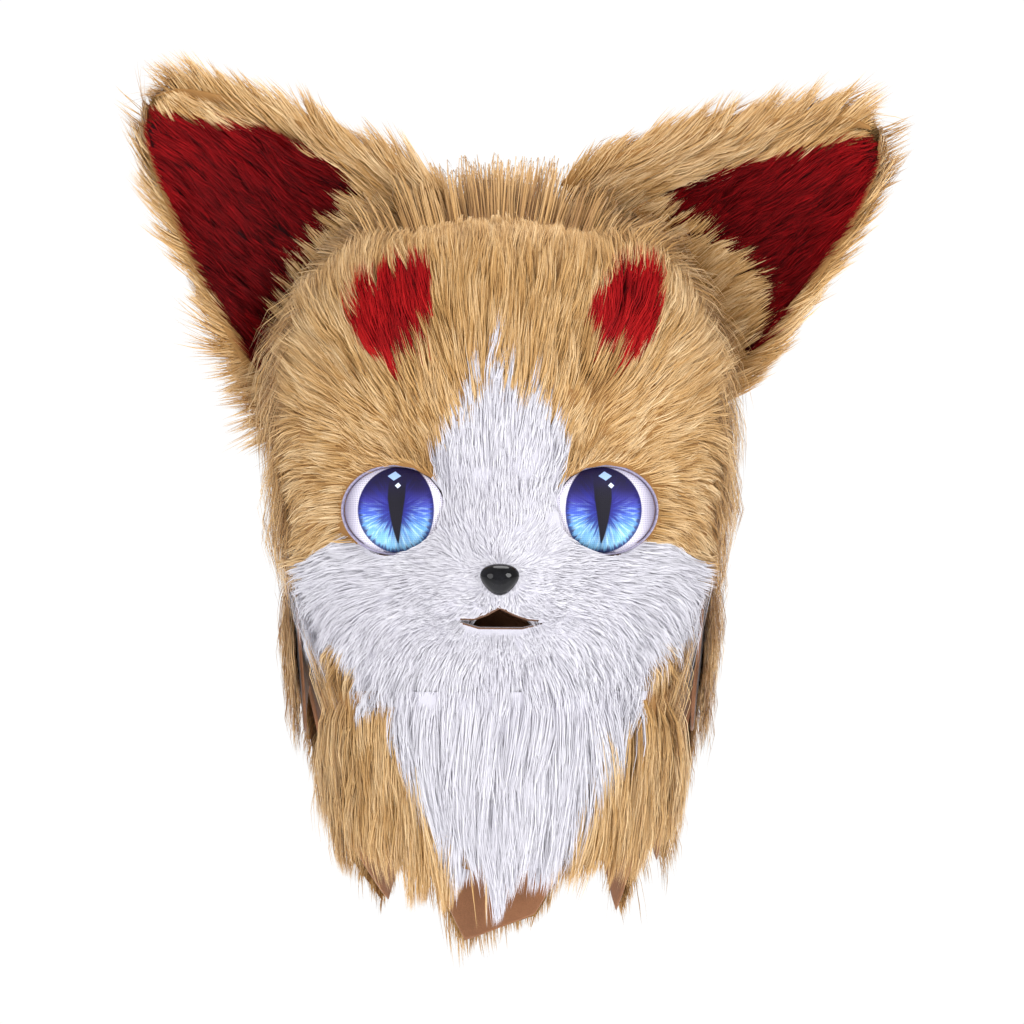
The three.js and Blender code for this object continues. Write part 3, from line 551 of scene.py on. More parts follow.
def undercoat(*parts, tint=0.3):
    """The dense short wool under the long hairs. Each part of it: a skin, its lift and which faces."""
    points, faces, normals = [], [], []
    for skin, lift, picked in parts:
        raised = skin.points + skin.normals * as_array(lift, skin.points)[:, None]
        used, index = np.unique(skin.index if picked is None else skin.index[picked], return_inverse=True)
        faces.append(index.reshape(-1, 3) + sum(len(p) for p in points))
        points.append(raised[used])
        normals.append(skin.normals[used])
    points = np.concatenate(points)
    blank = np.zeros(len(points))
    # The undercoat takes the root end of the colour ramp, painted shade down in the pile
    return mesh_object("undercoat", points, np.concatenate(faces), {
        "along": blank + 0.05, "tint": blank + tint, "across": blank, "lean": np.concatenate(normals)})


def grown(name, hairs, coat, shade, nodes, seed, strand="long strand"):
    """A piece of fur from its hairs, through the node tree, as one plain mesh."""
    material, slot, soft = furs()[shade], SLOTS[shade], SOFT[shade]
    source = link(mesh_object(name, hairs["root"], [], hairs))
    link(coat)
    tree = bpy.data.node_groups.get("combed pile") or hair_tree()
    modifier = source.modifiers.new("pile", "NODES")
    modifier.node_group = tree
    values = {"Strand": strand_object(strand), "Undercoat": coat, "Fibre": material,
              "Thickness": pile().thickness, "Seed": seed}
    for item in tree.interface.items_tree:
        if item.item_type == "SOCKET" and item.in_out == "INPUT" and item.name in values:
            modifier[item.identifier] = values[item.name]
    evaluated = source.evaluated_get(bpy.context.evaluated_depsgraph_get())
    mesh = bpy.data.meshes.new_from_object(evaluated)
    source.modifiers.remove(modifier)
    bpy.data.objects.remove(source)
    bpy.data.objects.remove(coat)
    mesh.shade_smooth()
    # Each hair is shaded partly by its own ribbon and partly by the skin that it grows from, as soft pile is
    lean = np.empty(len(mesh.vertices) * 3, np.float32)
    mesh.attributes["lean"].data.foreach_get("vector", lean)
    own = np.empty(len(mesh.vertices) * 3, np.float32)
    mesh.vertex_normals.foreach_get("vector", own)
    facing = unit(own.reshape(-1, 3) * (1 - soft) + lean.reshape(-1, 3) * soft)
    for key in ("root", "bend", "tip", "side", "width", "lean", "lock"):
        if key in mesh.attributes:
            mesh.attributes.remove(mesh.attributes[key])
    mesh.normals_split_custom_set_from_vertices(facing.tolist())
    piece = bpy.data.objects.new(name, mesh)
    return finished(piece, nodes)


# Materials


def blank_material(name):
    """A new material with its tree and its shader."""
    material = bpy.data.materials.new(name)
    material.use_nodes = True
    tree = material.node_tree
    tree.nodes.clear()
    shader = add(tree, "BsdfPrincipled").node
    add(tree, "OutputMaterial", shader.outputs[0])
    return material, tree, shader


def fibre(name, dark, body, pale, gloss, sheen):
    """Modacrylic pile: fine parallel fibres with a soft gloss, with painted shade that makes them darker and
    richer where they lie deep and at their roots, and paler at their tips.
    """
    material, tree, shader = blank_material(name)
    along_it, across, tint = (
        add(tree, "Attribute", out="Fac", attribute_name=key) for key in ("along", "across", "tint"))
    # Each ribbon, 0.5 mm wide, shows four or five fibres side by side, twice as coarse as real ones, to show
    apart = add(tree, "Math:ADD", add(tree, "Math:MULTIPLY", across, 2.4),
                add(tree, "Math:MULTIPLY", tint, 900.0))
    at = add(tree, "CombineXYZ", apart, add(tree, "Math:MULTIPLY", along_it, 0.8))
    streak = add(tree, "TexNoise", {"Vector": at, "Scale": 1.0, "Detail": 1.0})
    streak = add(tree, "Math:MULTIPLY", add(tree, "Math:SUBTRACT", streak, 0.5), 0.9)
    tone = add(tree, "Math:ADD", add(tree, "Math:MULTIPLY", tint, 0.75), streak)
    # Painted shade and light along each hair: darker at the root, paler towards the tip
    tone = add(tree, "Math:ADD", tone, add(tree, "Math:MULTIPLY", along_it, 0.22))
    shade = add(tree, "ValToRGB", tone, stops=[(0.1, dark), (0.46, body), (0.88, pale)])
    fill(tree, shader, {"Base Color": shade, "Roughness": 0.55, "Specular IOR Level": gloss,
                        "Sheen Weight": sheen, "Sheen Roughness": 0.45})
    return material


def furs():
    """The three furs, made once."""
    c = colours()
    wanted = {
        "tan modacrylic pile": (c.tan_dark, c.tan_body, c.tan_pale, 0.16, 0.15),
        "white modacrylic pile": (c.white_dark, c.white_body, c.white_pale, 0.2, 0.15),
        "red modacrylic pile": (c.red_dark, c.red_body, c.red_pale, 0.08, 0.0),
    }
    made = {}
    for name, finish in wanted.items():
        made[name.split()[0]] = bpy.data.materials.get(name) or fibre(name, *finish)
    return made


# The head's panels


def solids(*nodes):
    return tree_of(np.concatenate([corners(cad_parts[node]) for node in nodes]))


def outer_head():
    """The outside of the moulded base, without its hollow and windows."""
    tris = corners(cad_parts["head_base"])
    centres, normals = tris.mean(1), face_normals(tris)
    middle = np.array([0, 0, -100 * MM])
    outwards = ((centres - middle) * normals * np.array([1, 1, 0.6])).sum(1) > 0
    rim = (centres[:, 2] < -242 * MM) & (normals[:, 2] < -0.5)
    return tris[outwards & ~rim]


# How the face is combed, the same on both sides. Each row: how far from the middle and how high; the way the
# hair lies, in degrees from straight outwards (90 is up); its length and its lift. All but the way are in mm.
FACE_COMB = np.array((
    # Nose bridge, blaze and forehead
    (0, -135, 90, 10, 4), (0, -95, 90, 24, 7), (0, -50, 90, 34, 9), (0, 0, 90, 38, 10), (0, 45, 90, 20, 8),
    (24, -130, 80, 12, 4), (26, -100, 84, 20, 6), (46, -86, 62, 17, 5), (70, -90, 36, 15, 5),
    (94, -98, 8, 18, 6),
    (34, -55, 78, 32, 9), (70, -52, 58, 32, 9), (105, -55, 26, 38, 12), (132, -55, 2, 46, 12),
    (60, -10, 74, 34, 9), (96, -8, 60, 34, 11), (124, -8, 36, 48, 13), (60, 35, 82, 22, 8),
    (98, 35, 58, 42, 13),
    # Temples, beside the eyes
    (100, -125, -14, 18, 6), (100, -148, -24, 20, 7), (128, -92, -22, 34, 11), (140, -130, -46, 36, 12),
    (130, -165, -58, 38, 12),
    # Muzzle
    (16, -150, 62, 7, 4), (20, -170, -5, 6, 4), (45, -156, 6, 10, 6), (0, -184, -90, 4, 3),
    (20, -186, -30, 5, 4),
    (34, -194, -12, 5, 4), (20, -204, -70, 6, 5), (0, -206, -90, 7, 5), (50, -180, -20, 12, 7),
    (40, -212, -64, 16, 8), (0, -232, -90, 36, 13), (30, -228, -84, 36, 13),
    # Cheeks and jowls
    (75, -160, -4, 20, 9), (110, -162, -10, 34, 11), (128, -176, -26, 34, 11), (96, -192, -38, 30, 11),
    (66, -204, -54, 20, 9), (118, -205, -60, 28, 10), (95, -226, -78, 32, 10),
    (62, -230, -84, 36, 13),
), float)


def combed_at(p):
    """Way, length and lift of the face's hair at places, between the nearest rows of its table."""
    at = np.stack([np.abs(p[:, 0]), p[:, 2]], 1) / MM
    apart = np.linalg.norm(at[:, None] - FACE_COMB[None, :, :2], axis=2)
    share = 1 / (apart + 3) ** 4
    share /= share.sum(1, keepdims=True)
    turn = np.radians(FACE_COMB[:, 2])
    outwards, up = share @ np.cos(turn), share @ np.sin(turn)
    size = share @ FACE_COMB[:, 3:]
    return outwards, up, size[:, 0] * MM, size[:, 1] * MM


def face_flow(p, n):
    outwards, up, _, _ = combed_at(p)
    x = p[:, 0]
    return np.stack([outwards * np.clip(x / (8 * MM), -1, 1), 0.25 * np.abs(outwards), up], 1)


def behind(p):
    """Whether places are on the hood, behind the seam across the crown."""
    return p[:, 1] > -36 * MM


def hood_flow(p, n):
    """Up and back over the crown, out to the ears, then down the sides and the back."""
    x, y, z = p.T
    top = step(z, -25 * MM, 45 * MM)[:, None]
    down = np.stack([x * 2.2, 0.1 - 0.3 * low_side(p), -1 + 0 * x], 1)
    back = np.stack([x * 5, 0.75 + 0 * x, 0.5 + 0 * x], 1)
    return unit(back) * top + unit(down) * (1 - top)


def head_flow(p, n):
    return np.where(behind(p)[:, None], hood_flow(p, n), face_flow(p, n))


def low_side(p):
    """How far places are down the sides, where the hood's fur hangs over the edges of the drape."""
    return step(-p[:, 2], 110 * MM, 190 * MM) * step(np.abs(p[:, 0]), 80 * MM, 110 * MM)


def head_reach(p):
    """Length of the head's hair: longer low at the sides, and shorter on the crown in the middle."""
    middle = 1 - step(np.abs(p[:, 0]), 35 * MM, 65 * MM)
    crown = 1 - 0.55 * step(p[:, 1], -66 * MM, -40 * MM) * step(p[:, 2], -10 * MM, 30 * MM) * middle
    face = combed_at(p)[2] * (pile().face / (40 * MM)) * crown
    return np.where(behind(p), pile().hood * (1 + 0.5 * low_side(p)), face)


def head_lift(p):
    """How high the head's hair stands, highest on the crown of the hood."""
    hood = (15 + 21 * step(p[:, 2], 0, 44 * MM)) * MM
    return np.where(behind(p), hood, combed_at(p)[3])


def coat_lift(p):
    """Height of the undercoat: lower on the crown and the muzzle, none on the lips, more beside the eyes."""
    crown = step(p[:, 2], -45 * MM, -12 * MM) * (1 - step(np.abs(p[:, 0]), 60 * MM, 85 * MM))
    muzzle = (1 - step(np.abs(p[:, 0]), 45 * MM, 65 * MM)) * step(-p[:, 2], 125 * MM, 150 * MM)
    lips = at_mouth(p, 1.2)[0]
    near = np.min([eye.spread(p)[2] for eye in EYES], axis=0)
    beside_eye = (np.abs(p[:, 0]) < 62 * MM) * (1 - step(near, 1.03, 1.15))
    share = 0.3 - 0.13 * muzzle - 0.2 * crown
    return np.where(lips, -0.4 * MM, head_lift(p) * share + 1.4 * MM * beside_eye)


def head_slack(p):
    """How far hairs may stand out of the solids, in millimetres: further at the sides and at the ears."""
    side = step(np.abs(p[:, 0]), 70 * MM, 95 * MM)
    return 4 + 16 * side * step(p[:, 2], -75 * MM, -40 * MM) + 14 * low_side(p) + 5 * side


def head_hug(p):
    """How closely tips follow the base: they stand off it at the crown's corners, the sides and the chin."""
    corner = step(np.abs(p[:, 0]), 50 * MM, 85 * MM) * step(p[:, 2], -95 * MM, -50 * MM)
    return 0.5 - 0.42 * corner - 0.45 * step(-p[:, 2], 198 * MM, 212 * MM) * (1 - corner)


# Each panel: its colour, hairs to a square centimetre and its strand
HEAD_PANELS = {
    "hood_fur": ("tan", 22, "long strand"),
    "face_fur": ("tan", 100, "short strand"),
    "brow_spot_left": ("red", 95, "short strand"),
    "brow_spot_right": ("red", 95, "short strand"),
    "blaze_fur": ("white", 130, "short strand"),
    "muzzle_fur": ("white", 175, "short strand"),
    "cheek_fur_left": ("white", 130, "short strand"),
    "cheek_fur_right": ("white", 130, "short strand"),
    "jowl_fur_left": ("tan", 80, "short strand"),
    "jowl_fur_right": ("tan", 80, "short strand"),
}
SLOTS = {"tan": "tan_fur", "white": "white_fur", "red": "red_fur"}
# How far each fur is shaded as one soft surface, and its undercoat's tint, from deep, 0, to pale, 1; the
# undercoats are tinted deep as painted shade under the hairs
SOFT = {"tan": 0.5, "white": 0.95, "red": 0.55}
COAT_SHADE_TINT = {"tan": 0.28, "white": 0.05, "red": 0.2}


class FURSUIT_OT_head_fur(bpy.types.Operator):
    """Grow the tan, white and red fur on the moulded base"""

    bl_idname = "fursuit.head_fur"
    bl_label = "Head Fur"

    def execute(self, context):
        settings = pile()
        rng = np.random.default_rng(settings.seed * 1000)
        shape = outer_head()
        parts = [backing_faces(node, "head_base") for node in HEAD_PANELS]
        panel_at = tree_of(np.concatenate(parts))
        owner = np.concatenate([np.full(len(part), k) for k, part in enumerate(parts)])

        def panels(places):
            """The panel nearest to each place, and how far off it is."""
            found = [panel_at.find_nearest(Vector(p)) for p in places]
            return owner[[f[2] for f in found]], np.array([f[3] for f in found])

        names = list(HEAD_PANELS)
        fine = divided(shape, 8 * MM)
        centres = fine.mean(1)
        skin_panel, off = panels(centres)
        # The walls of the mouth stay bare
        walls = at_mouth(centres, 4)[0] & (face_normals(fine)[:, 1] > -0.5)
        kept = (off < 5 * MM) & ~walls
        by_eye = (np.abs(centres[:, 0]) < 52 * MM) & (centres[:, 2] < -108 * MM)
        skin_panel[by_eye & (skin_panel == names.index("face_fur"))] = names.index("blaze_fur")
        fine, skin_panel = fine[kept], skin_panel[kept]
        skin = Skin(fine, shape)
        density = np.array([row[1] for row in HEAD_PANELS.values()], float)[skin_panel]
        middle = skin.tris.mean(1)
        # The crown is looked at from the front, where its hairs stand thin against the light
        crown = step(middle[:, 2], -10 * MM, 20 * MM) * (1 - step(middle[:, 1], 40 * MM, 80 * MM))
        density *= np.where(skin_panel == 0, 0.85 + 1.0 * crown, 1)
        count = int((skin.area * density).sum() * 1e4 * settings.fullness)
        roots, normals = skin.scatter(count, rng, skin.area * density)
        bare = (np.min([eye.spread(roots)[2] for eye in EYES], axis=0) < 0.97) | at_mouth(roots, 0.6)[0]
        roots, normals = roots[~bare], normals[~bare]
        comb = Comb(head_flow, head_reach, head_lift, lock=7, gather=0.6, swing=3.5, slack=head_slack,
                    hug=head_hug)
        limit = solids("head_base", "ear_shell_left", "ear_shell_right", "ear_lining_left",
                       "ear_lining_right", "bib_cloth", "bib_fur_white", "bib_fur_left",
                       "bib_fur_right", "drape_cloth", "drape_fur",
                       *HEAD_PANELS)
        hairs = combed(roots, normals, skin.area.sum(), comb, rng, tree_of(shape), limit, openings_cleared)
        # A hair takes the colour of the panel that most of it shows over, so a marking shows where it should
        far = (0.36 + 0.6 * hairs["lock"])[:, None]
        places = hairs["root"] * (1 - far) + hairs["tip"] * far
        blaze = (1 - step(np.abs(places[:, 0]), 24 * MM, 46 * MM)) * step(places[:, 2], -0.11, -0.08)
        places[:, 2] -= 28 * MM * (1 - hairs["lock"]) * blaze * (1 - step(places[:, 2], -0.03, -0.01))
        shown = panels(places)[0]
        beside_eye = (np.abs(places[:, 0]) < 52 * MM) & (places[:, 2] < -110 * MM)
        shown[beside_eye & (shown == names.index("face_fur"))] = names.index("blaze_fur")
        # Painted shade: the forehead's hairs are tinted darker, where the light from the front and above falls
        # full on it
        forehead = step(places[:, 2], -0.1, -0.04) * (1 - step(np.abs(places[:, 0]), 0.06, 0.11))
        hairs["tint"] = hairs["tint"] - 0.15 * forehead
        for k, (node, (shade, _, strand)) in enumerate(HEAD_PANELS.items()):
            own = {key: value[shown == k] for key, value in hairs.items()}
            coat = undercoat((skin, coat_lift, skin_panel == k), tint=COAT_SHADE_TINT[shade])
            grown(node + ".pile", own, coat, shade, [node], k, strand)
        return {"FINISHED"}


def bib_flow(p, n):
    return np.stack([-p[:, 0] * 1.5, 0 * p[:, 0], -1 + 0 * p[:, 0]], 1)


def drape_flow(p, n):
    return np.stack([p[:, 0] * 0.9, -0.4 * step(np.abs(p[:, 0]), 60 * MM, 95 * MM), -1 + 0 * p[:, 0]], 1)


# The edges of the bib's white, left and right: heights and the distance from the middle there, in millimetres
BIB_LINES = (
    ((-369, -345, -315, -285, -255, -219, -207), (0, -27, -42, -54, -69, -93, -114)),
    ((-366, -339, -309, -279, -243, -213), (18, 36, 51, 72, 96, 114)),
)


def bib_panel(p):
    """Which panel of the bib shows at places: white is 0, the left 1 and the right 2."""
    x, z = p[:, 0] / MM, p[:, 2] / MM
    left, right = (np.interp(z, *line) for line in BIB_LINES)
    return np.where(x < left, 1, np.where(x > right, 2, 0))


class FURSUIT_OT_hanging_fur(bpy.types.Operator):
    """Grow the fur of the bib and the back drape"""

    bl_idname = "fursuit.hanging_fur"
    bl_label = "Bib and Drape Fur"

    def execute(self, context):
        settings = pile()
        bib = Comb(bib_flow, settings.bib, 10 * MM, lock=8, gather=0.6, swing=4, slack=5)
        drape = Comb(drape_flow, settings.drape, 9 * MM, lock=9, gather=0.6, swing=4, slack=5)
        for seed, (nodes, comb, density, cloth) in enumerate((
            (("bib_fur_white", "bib_fur_left", "bib_fur_right"), bib, 100, "bib_cloth"),
            (("drape_fur",), drape, 21, "drape_cloth"),
        ), 30):
            rng = np.random.default_rng(settings.seed * 1000 + seed)
            skin = Skin(np.concatenate([backing_faces(node, cloth) for node in nodes]))
            area = skin.area.sum()
            roots, normals = skin.scatter(int(area * 1e4 * density * settings.fullness), rng)
            hairs = combed(roots, normals, area, comb, rng, None, solids("head_base", cloth, *nodes))
            far = (0.4 + 0.45 * hairs["lock"])[:, None]
            shown = bib_panel(hairs["root"] * (1 - far) + hairs["tip"] * far)
            under = bib_panel(skin.tris.mean(1) - (0, 0, 20 * MM))
            for k, node in enumerate(nodes):
                shade = "white" if node == "bib_fur_white" else "tan"
                own = {key: value[shown == k] for key, value in hairs.items()} if len(nodes) > 1 else hairs
                coat = undercoat((skin, 2.5 * MM, under == k if len(nodes) > 1 else None),
                                 tint=COAT_SHADE_TINT[shade])
                grown(node + ".pile", own, coat, shade, [node], seed * 10 + k)
        return {"FINISHED"}


# Ears, on the same cupped surface as their solids. Each row: inner root, outer root and tip, in millimetres.

EARS = {
    "left": ((-42, -10, 72), (-141, 12, -74), (-208, -20, 114)),
    "right": ((54, -10, 82), (150, 12, -62), (222, -56, 94)),
}
# Where the tan of the head gives way to the red inside the ears: heights, and the distance from the middle at
# each, in millimetres
EAR_ROOT_LINES = {
    "left": ((-50, -9, 15, 36, 48, 72), (139, 138, 126, 114, 102, 89)),
    "right": ((-51, -27, -3, 12, 24, 36, 48, 63), (159, 156, 162, 159, 147, 132, 114, 99)),
}
# The upper edge of the red: distances from the middle, and the height at each, in millimetres
EAR_TOP_LINES = {
    "left": ((86, 110, 150, 211), (67, 94, 103, 110)),
    "right": ((115, 144, 190, 226), (71, 79, 88, 96)),
}
# How far across the ear the tan rims reach, from -1 at its inner edge to 1: the inner one in, the outer one out
EAR_RIMS = {"left": (-0.74, 1.0), "right": (-0.5, 0.93)}
# Half widths at the root and the tip, how the width tapers, then the depth of the cup, the wall and the lining
EAR_HALF_BASE, EAR_TIP_HALF, EAR_TAPER, EAR_CUP, EAR_WALL, EAR_LINING = 84, 5, 0.64, 34, 13, 6


class Ear:
    """The cupped surface of an ear, which its fur grows from."""

    def __init__(self, side):
        inner, outer, self.tip = (np.array(p, float) * MM for p in EARS[side])
        self.side, self.root = side, (inner + outer) / 2
        self.chord, self.rise = unit(outer - inner), unit(self.tip - self.root)
        facing = unit(np.cross(self.chord, self.tip - self.root))
        self.facing = -facing if facing[1] > 0 else facing

    def is_tan(self, p):
        """Whether places in the cup are over the ear's root or along its top, where the fur is tan."""
        x, z = np.abs(p[:, 0]) / MM, p[:, 2] / MM
        return (x < np.interp(z, *EAR_ROOT_LINES[self.side])) | (z > np.interp(x, *EAR_TOP_LINES[self.side]))

    def half(self, up):
        rest = np.clip(1 - up, 0, 1)
        return (EAR_TIP_HALF + (EAR_HALF_BASE - EAR_TIP_HALF) * rest**EAR_TAPER) * MM

    def place(self, across, up, offset=0.0):
        across, up, offset = np.broadcast_arrays(*(np.asarray(v, float) for v in (across, up, offset)))
        cup = EAR_CUP * MM * np.clip(1 - up, 0, 1) ** 0.7 * (1 - across**2)
        return (self.root + (self.tip - self.root) * up[..., None]
                + self.chord * (self.half(up) * across)[..., None]
                - self.facing * (cup + offset)[..., None])

    def tris(self, across, up, offset, outwards):
        """A patch as triangles turned the given way. offset may differ for each column."""
        u, s = np.meshgrid(across, up)
        p = self.place(u, s, np.broadcast_to(offset, u.shape))
        quads = np.stack([p[:-1, :-1], p[:-1, 1:], p[1:, 1:], p[1:, :-1]], -2).reshape(-1, 4, 3)
        tris = np.concatenate([quads[:, [0, 1, 2]], quads[:, [0, 2, 3]]])
        return tris if (face_normals(tris) @ outwards).mean() > 0 else tris[:, ::-1]

    def up(self, p):
        return np.clip((p - self.root) @ self.rise / np.linalg.norm(self.tip - self.root), -0.2, 1)

    def across(self, p):
        up = self.up(p)
        axis = self.root + (self.tip - self.root) * up[:, None]
        return np.clip((p - axis) @ self.chord / self.half(up), -1.2, 1.2)

    def shell_flow(self, p, n):
        """Up to the tip, and out over the edges."""
        edge = self.across(p)
        fringe = np.where(edge < 0, 0.12, 0.04 if self.side == "right" else 0.25)
        out = 0.1 * edge + fringe * np.sign(edge) * step(np.abs(edge), 0.8, 1)
        if self.side == "left":
            # A tuft hangs out over the outer root
            out += 1.6 * step(edge, 0.5, 0.9) * (1 - step(self.up(p), 0.05, 0.2))
        return self.rise + self.chord * out[:, None]

    def slack(self, p):
        """Hairs stand out further along the top edge and round the outer root of the left ear."""
        edge = self.across(p)
        return 5 + 5 * step(-edge, 0.4, 0.9) + (
            14 * (1 - step(self.up(p), 0.1, 0.25)) if self.side == "left" else 0)

    def lining_flow(self, p, n):
        return self.rise + self.chord * (self.across(p) * 0.18 + 0.06)[:, None]


class FURSUIT_OT_ear_fur(bpy.types.Operator):
    """Grow the fur on the backs, rims and linings of the ears"""

    bl_idname = "fursuit.ear_fur"
    bl_label = "Ear Fur"

    def execute(self, context):
        settings = pile()
        # The shell and its rims start below the ear's root, so that no gap shows over the hood
        rows = np.linspace(-0.16, 1.0, 25)
        for side, seed in (("left", 21), ("right", 22)):
            rng = np.random.default_rng(settings.seed * 1000 + seed)
            ear = Ear(side)
            inner_rim, outer_rim = EAR_RIMS[side]
            shell = [ear.tris(np.linspace(-1, outer_rim, 19), rows, (EAR_WALL - 2) * MM, -ear.facing)]
            for low, high in ((-1, inner_rim), (outer_rim - 0.16, outer_rim)):
                shell.append(ear.tris(np.linspace(low, high, 4), rows, 1 * MM, ear.facing))
            for edge in (-1, outer_rim):
                shell.append(ear.tris([edge, edge], rows, [1 * MM, (EAR_WALL - 2) * MM],
                                      ear.chord * np.sign(edge)))
            limit = solids("ear_shell_" + side, "ear_lining_" + side, "hood_fur")
            patches = {
                "red": (ear.tris(np.linspace(inner_rim - 0.05, outer_rim - 0.1, 15),
                                 np.linspace(-0.02, 0.96, 21),
                                 (2 - EAR_LINING) * MM, ear.facing),
                        Comb(ear.lining_flow, settings.ear_lining, 5 * MM, lock=7, gather=0.5, swing=5,
                             slack=4), 70),
                "tan": (np.concatenate(shell),
                        Comb(ear.shell_flow, settings.ear, 7 * MM, lock=7, gather=0.55, swing=5,
                             slack=ear.slack), 40),
            }
            skins, hairs = {}, {}
            for shade, (tris, comb, density) in patches.items():
                skins[shade] = skin = Skin(tris, radius=12 * MM, longest=8 * MM)
                area = skin.area.sum()
                # The fronts are looked at, so they are fuller than the backs
                front = np.where(face_normals(skin.tris) @ ear.facing > 0.2, 2.2, 0.8)
                weight = skin.area * (front if shade == "tan" else 1)
                roots, normals = skin.scatter(int(area * 1e4 * density * settings.fullness), rng, weight)
                hairs[shade] = combed(roots, normals, area, comb, rng, None, limit)
            inside = hairs["red"]
            # Painted shade darkens the cup of the ear, deepest at the root, where it has the tan of the head
            far = (0.3 + 0.6 * inside["lock"])[:, None]
            root = ear.is_tan(inside["root"] * (1 - far) + inside["tip"] * far)
            hairs["tan"] = {key: np.concatenate([hairs["tan"][key], inside[key][root]]) for key in inside}
            hairs["red"] = {key: value[~root] for key, value in inside.items()}
            hairs["red"]["tint"] = hairs["red"]["tint"] * (
                0.1 + 0.3 * step(ear.up(hairs["red"]["root"]), 0.1, 0.8))
            # The red undercoat is tinted deep, painted shade in the cup
            under = ear.is_tan(skins["red"].tris.mean(1) + ear.rise * 10 * MM)
            coats = {
                "red": undercoat((skins["red"], 1 * MM, ~under), tint=0.05),
                "tan": undercoat((skins["tan"], 1 * MM, None), (skins["red"], 1 * MM, under)),
            }
            for shade, node in (("tan", "ear_shell_" + side), ("red", "ear_lining_" + side)):
                grown(node + ".pile", hairs[shade], coats[shade], shade, [node], seed)
        return {"FINISHED"}


# Eyes


def eye_print(name, side):
    """Printed perforated mesh, domed: a slit pupil in a blue iris on pale lavender, matt with fine holes."""
    material, tree, shader = blank_material(name)
    # The map runs over 80 mm, so these are millimetres from the middle of the iris, which looks ahead
    split = add(tree, "SeparateXYZ", add(tree, "UVMap", uv_map="print")).node.outputs
    flat, z = (add(tree, "Math:MULTIPLY", add(tree, "Math:SUBTRACT", split[k], 0.5), 80.0) for k in (0, 1))
    x = add(tree, "Math:ADD", flat, 3.6 * side)
    ex, ez = add(tree, "Math:DIVIDE", x, 25.2), add(tree, "Math:DIVIDE", z, 25.8)
    squares = [add(tree, "Math:MULTIPLY", part, part) for part in (ex, ez)]
    r = add(tree, "Math:SQRT", add(tree, "Math:ADD", *squares))
    # Streaks of the iris: noise over the direction from its middle, drawn out along the radius
    safe = add(tree, "Math:ADD", r, 0.04)
    around = [add(tree, "Math:DIVIDE", part, safe) for part in (ex, ez)]
    broad, fine = (
        add(tree, "TexNoise", {"Vector": add(tree, "CombineXYZ", *around,
                                             add(tree, "Math:MULTIPLY", r, drift)),
                               "Scale": scale, "Detail": detail, "Roughness": 0.6})
        for scale, detail, drift in ((6.0, 3.0, 0.12), (20.0, 2.0, 0.1))
    )
    broad_off, fine_off = (
        add(tree, "Math:MULTIPLY", add(tree, "Math:SUBTRACT", noise, 0.5), reach)
        for noise, reach in ((broad, 1.5), (fine, 0.35)))
    # Pale rays in the lower half, dark ones from the pupil and in from the edge
    ray = add(tree, "Math:MULTIPLY", add(tree, SMOOTH, fine, 0.48, 0.62), add(tree, SMOOTH, r, 0.25, 0.5))
    ray = add(tree, "Math:MULTIPLY", ray, add(tree, SMOOTH, z, 9.0, -10.0))
    core = add(tree, SMOOTH, add(tree, "Math:ADD", r, broad_off), 0.62, 0.2)
    rays = add(tree, "Math:MULTIPLY", add(tree, SMOOTH, broad, 0.5, 0.62), add(tree, SMOOTH, r, 1.0, 0.5))
    edge = add(tree, SMOOTH, add(tree, "Math:ADD", r, fine_off), 0.84, 0.98)
    # Slit pupil: 11 mm wide near the top, drawn down to a point near the lower edge, with a dark halo
    rise = add(tree, "MapRange", z, -20.0, 7.0)
    half = add(tree, "Math:MULTIPLY", add(tree, "Math:POWER", rise, 0.72), 5.6)
    inside = add(tree, "Math:SUBTRACT", half, add(tree, "Math:ABSOLUTE", x))
    halo = add(tree, SMOOTH, inside, -3.0, 0.0)
    slit = add(tree, "Math:MULTIPLY", add(tree, SMOOTH, inside, -0.4, 0.5), add(tree, SMOOTH, z, 24.0, 12.0))
    # The print darkens under the upper lid; its white ground carries painted shade at the outer side, where the
    # dome turns away, and at the top, under the fur
    lid, top_shade = add(tree, SMOOTH, z, 4.0, 22.0), add(tree, SMOOTH, z, 8.0, 24.0)
    side_shade = add(tree, SMOOTH, add(tree, "Math:MULTIPLY", flat, side), 16.0, 33.0)
    # Holes of the mesh, 1.25 mm apart, drawn a little larger than real so that they show
    grid = add(tree, "CombineXYZ", *(add(tree, "Math:DIVIDE", part, 1.25) for part in (x, z)))
    cell = add(tree, "VectorMath:SUBTRACT", add(tree, "VectorMath:FRACTION", grid), (0.5, 0.5, 0.0))
    hole = add(tree, SMOOTH, add(tree, "VectorMath:LENGTH", cell, out=1), 0.36, 0.2)
    # Each layer of the print: where it lies, how strong it is and its colour
    iris = add(tree, "ValToRGB", add(tree, SMOOTH, z, -25.0, 24.0), stops=[
        (0.0, linear("8CCBF4")), (0.24, linear("6CA9EC")), (0.45, linear("4A66D2")), (0.66, linear("3B3A9E")),
        (0.85, linear("221A5C")), (1.0, linear("120B33"))])
    for share, most, code in (
        (ray, 0.75, "BFE9FF"), (core, 0.88, "24207F"), (rays, 0.5, "262A94"), (edge, 0.92, "1A1463"),
        (halo, 0.4, "1C1868"), (slit, 1.0, "0B0718"), (lid, 0.85, "150D33"), (hole, 0.2, "0A0820"),
    ):
        iris = add(tree, MIX, {0: add(tree, "Math:MULTIPLY", share, most), 6: iris, 7: linear(code)}, out=2)
    white = linear("E9E5F3")
    # Painted shade on the white ground, at its outer side and its top, then its holes
    for share, most, code in ((side_shade, 1.0, "8F899F"), (top_shade, 0.5, "A49EB8"), (hole, 0.6, "77708F")):
        white = add(tree, MIX, {0: add(tree, "Math:MULTIPLY", share, most), 6: white, 7: linear(code)}, out=2)
    shade = add(tree, MIX, {0: add(tree, SMOOTH, r, 0.985, 1.015), 6: iris, 7: white}, out=2)
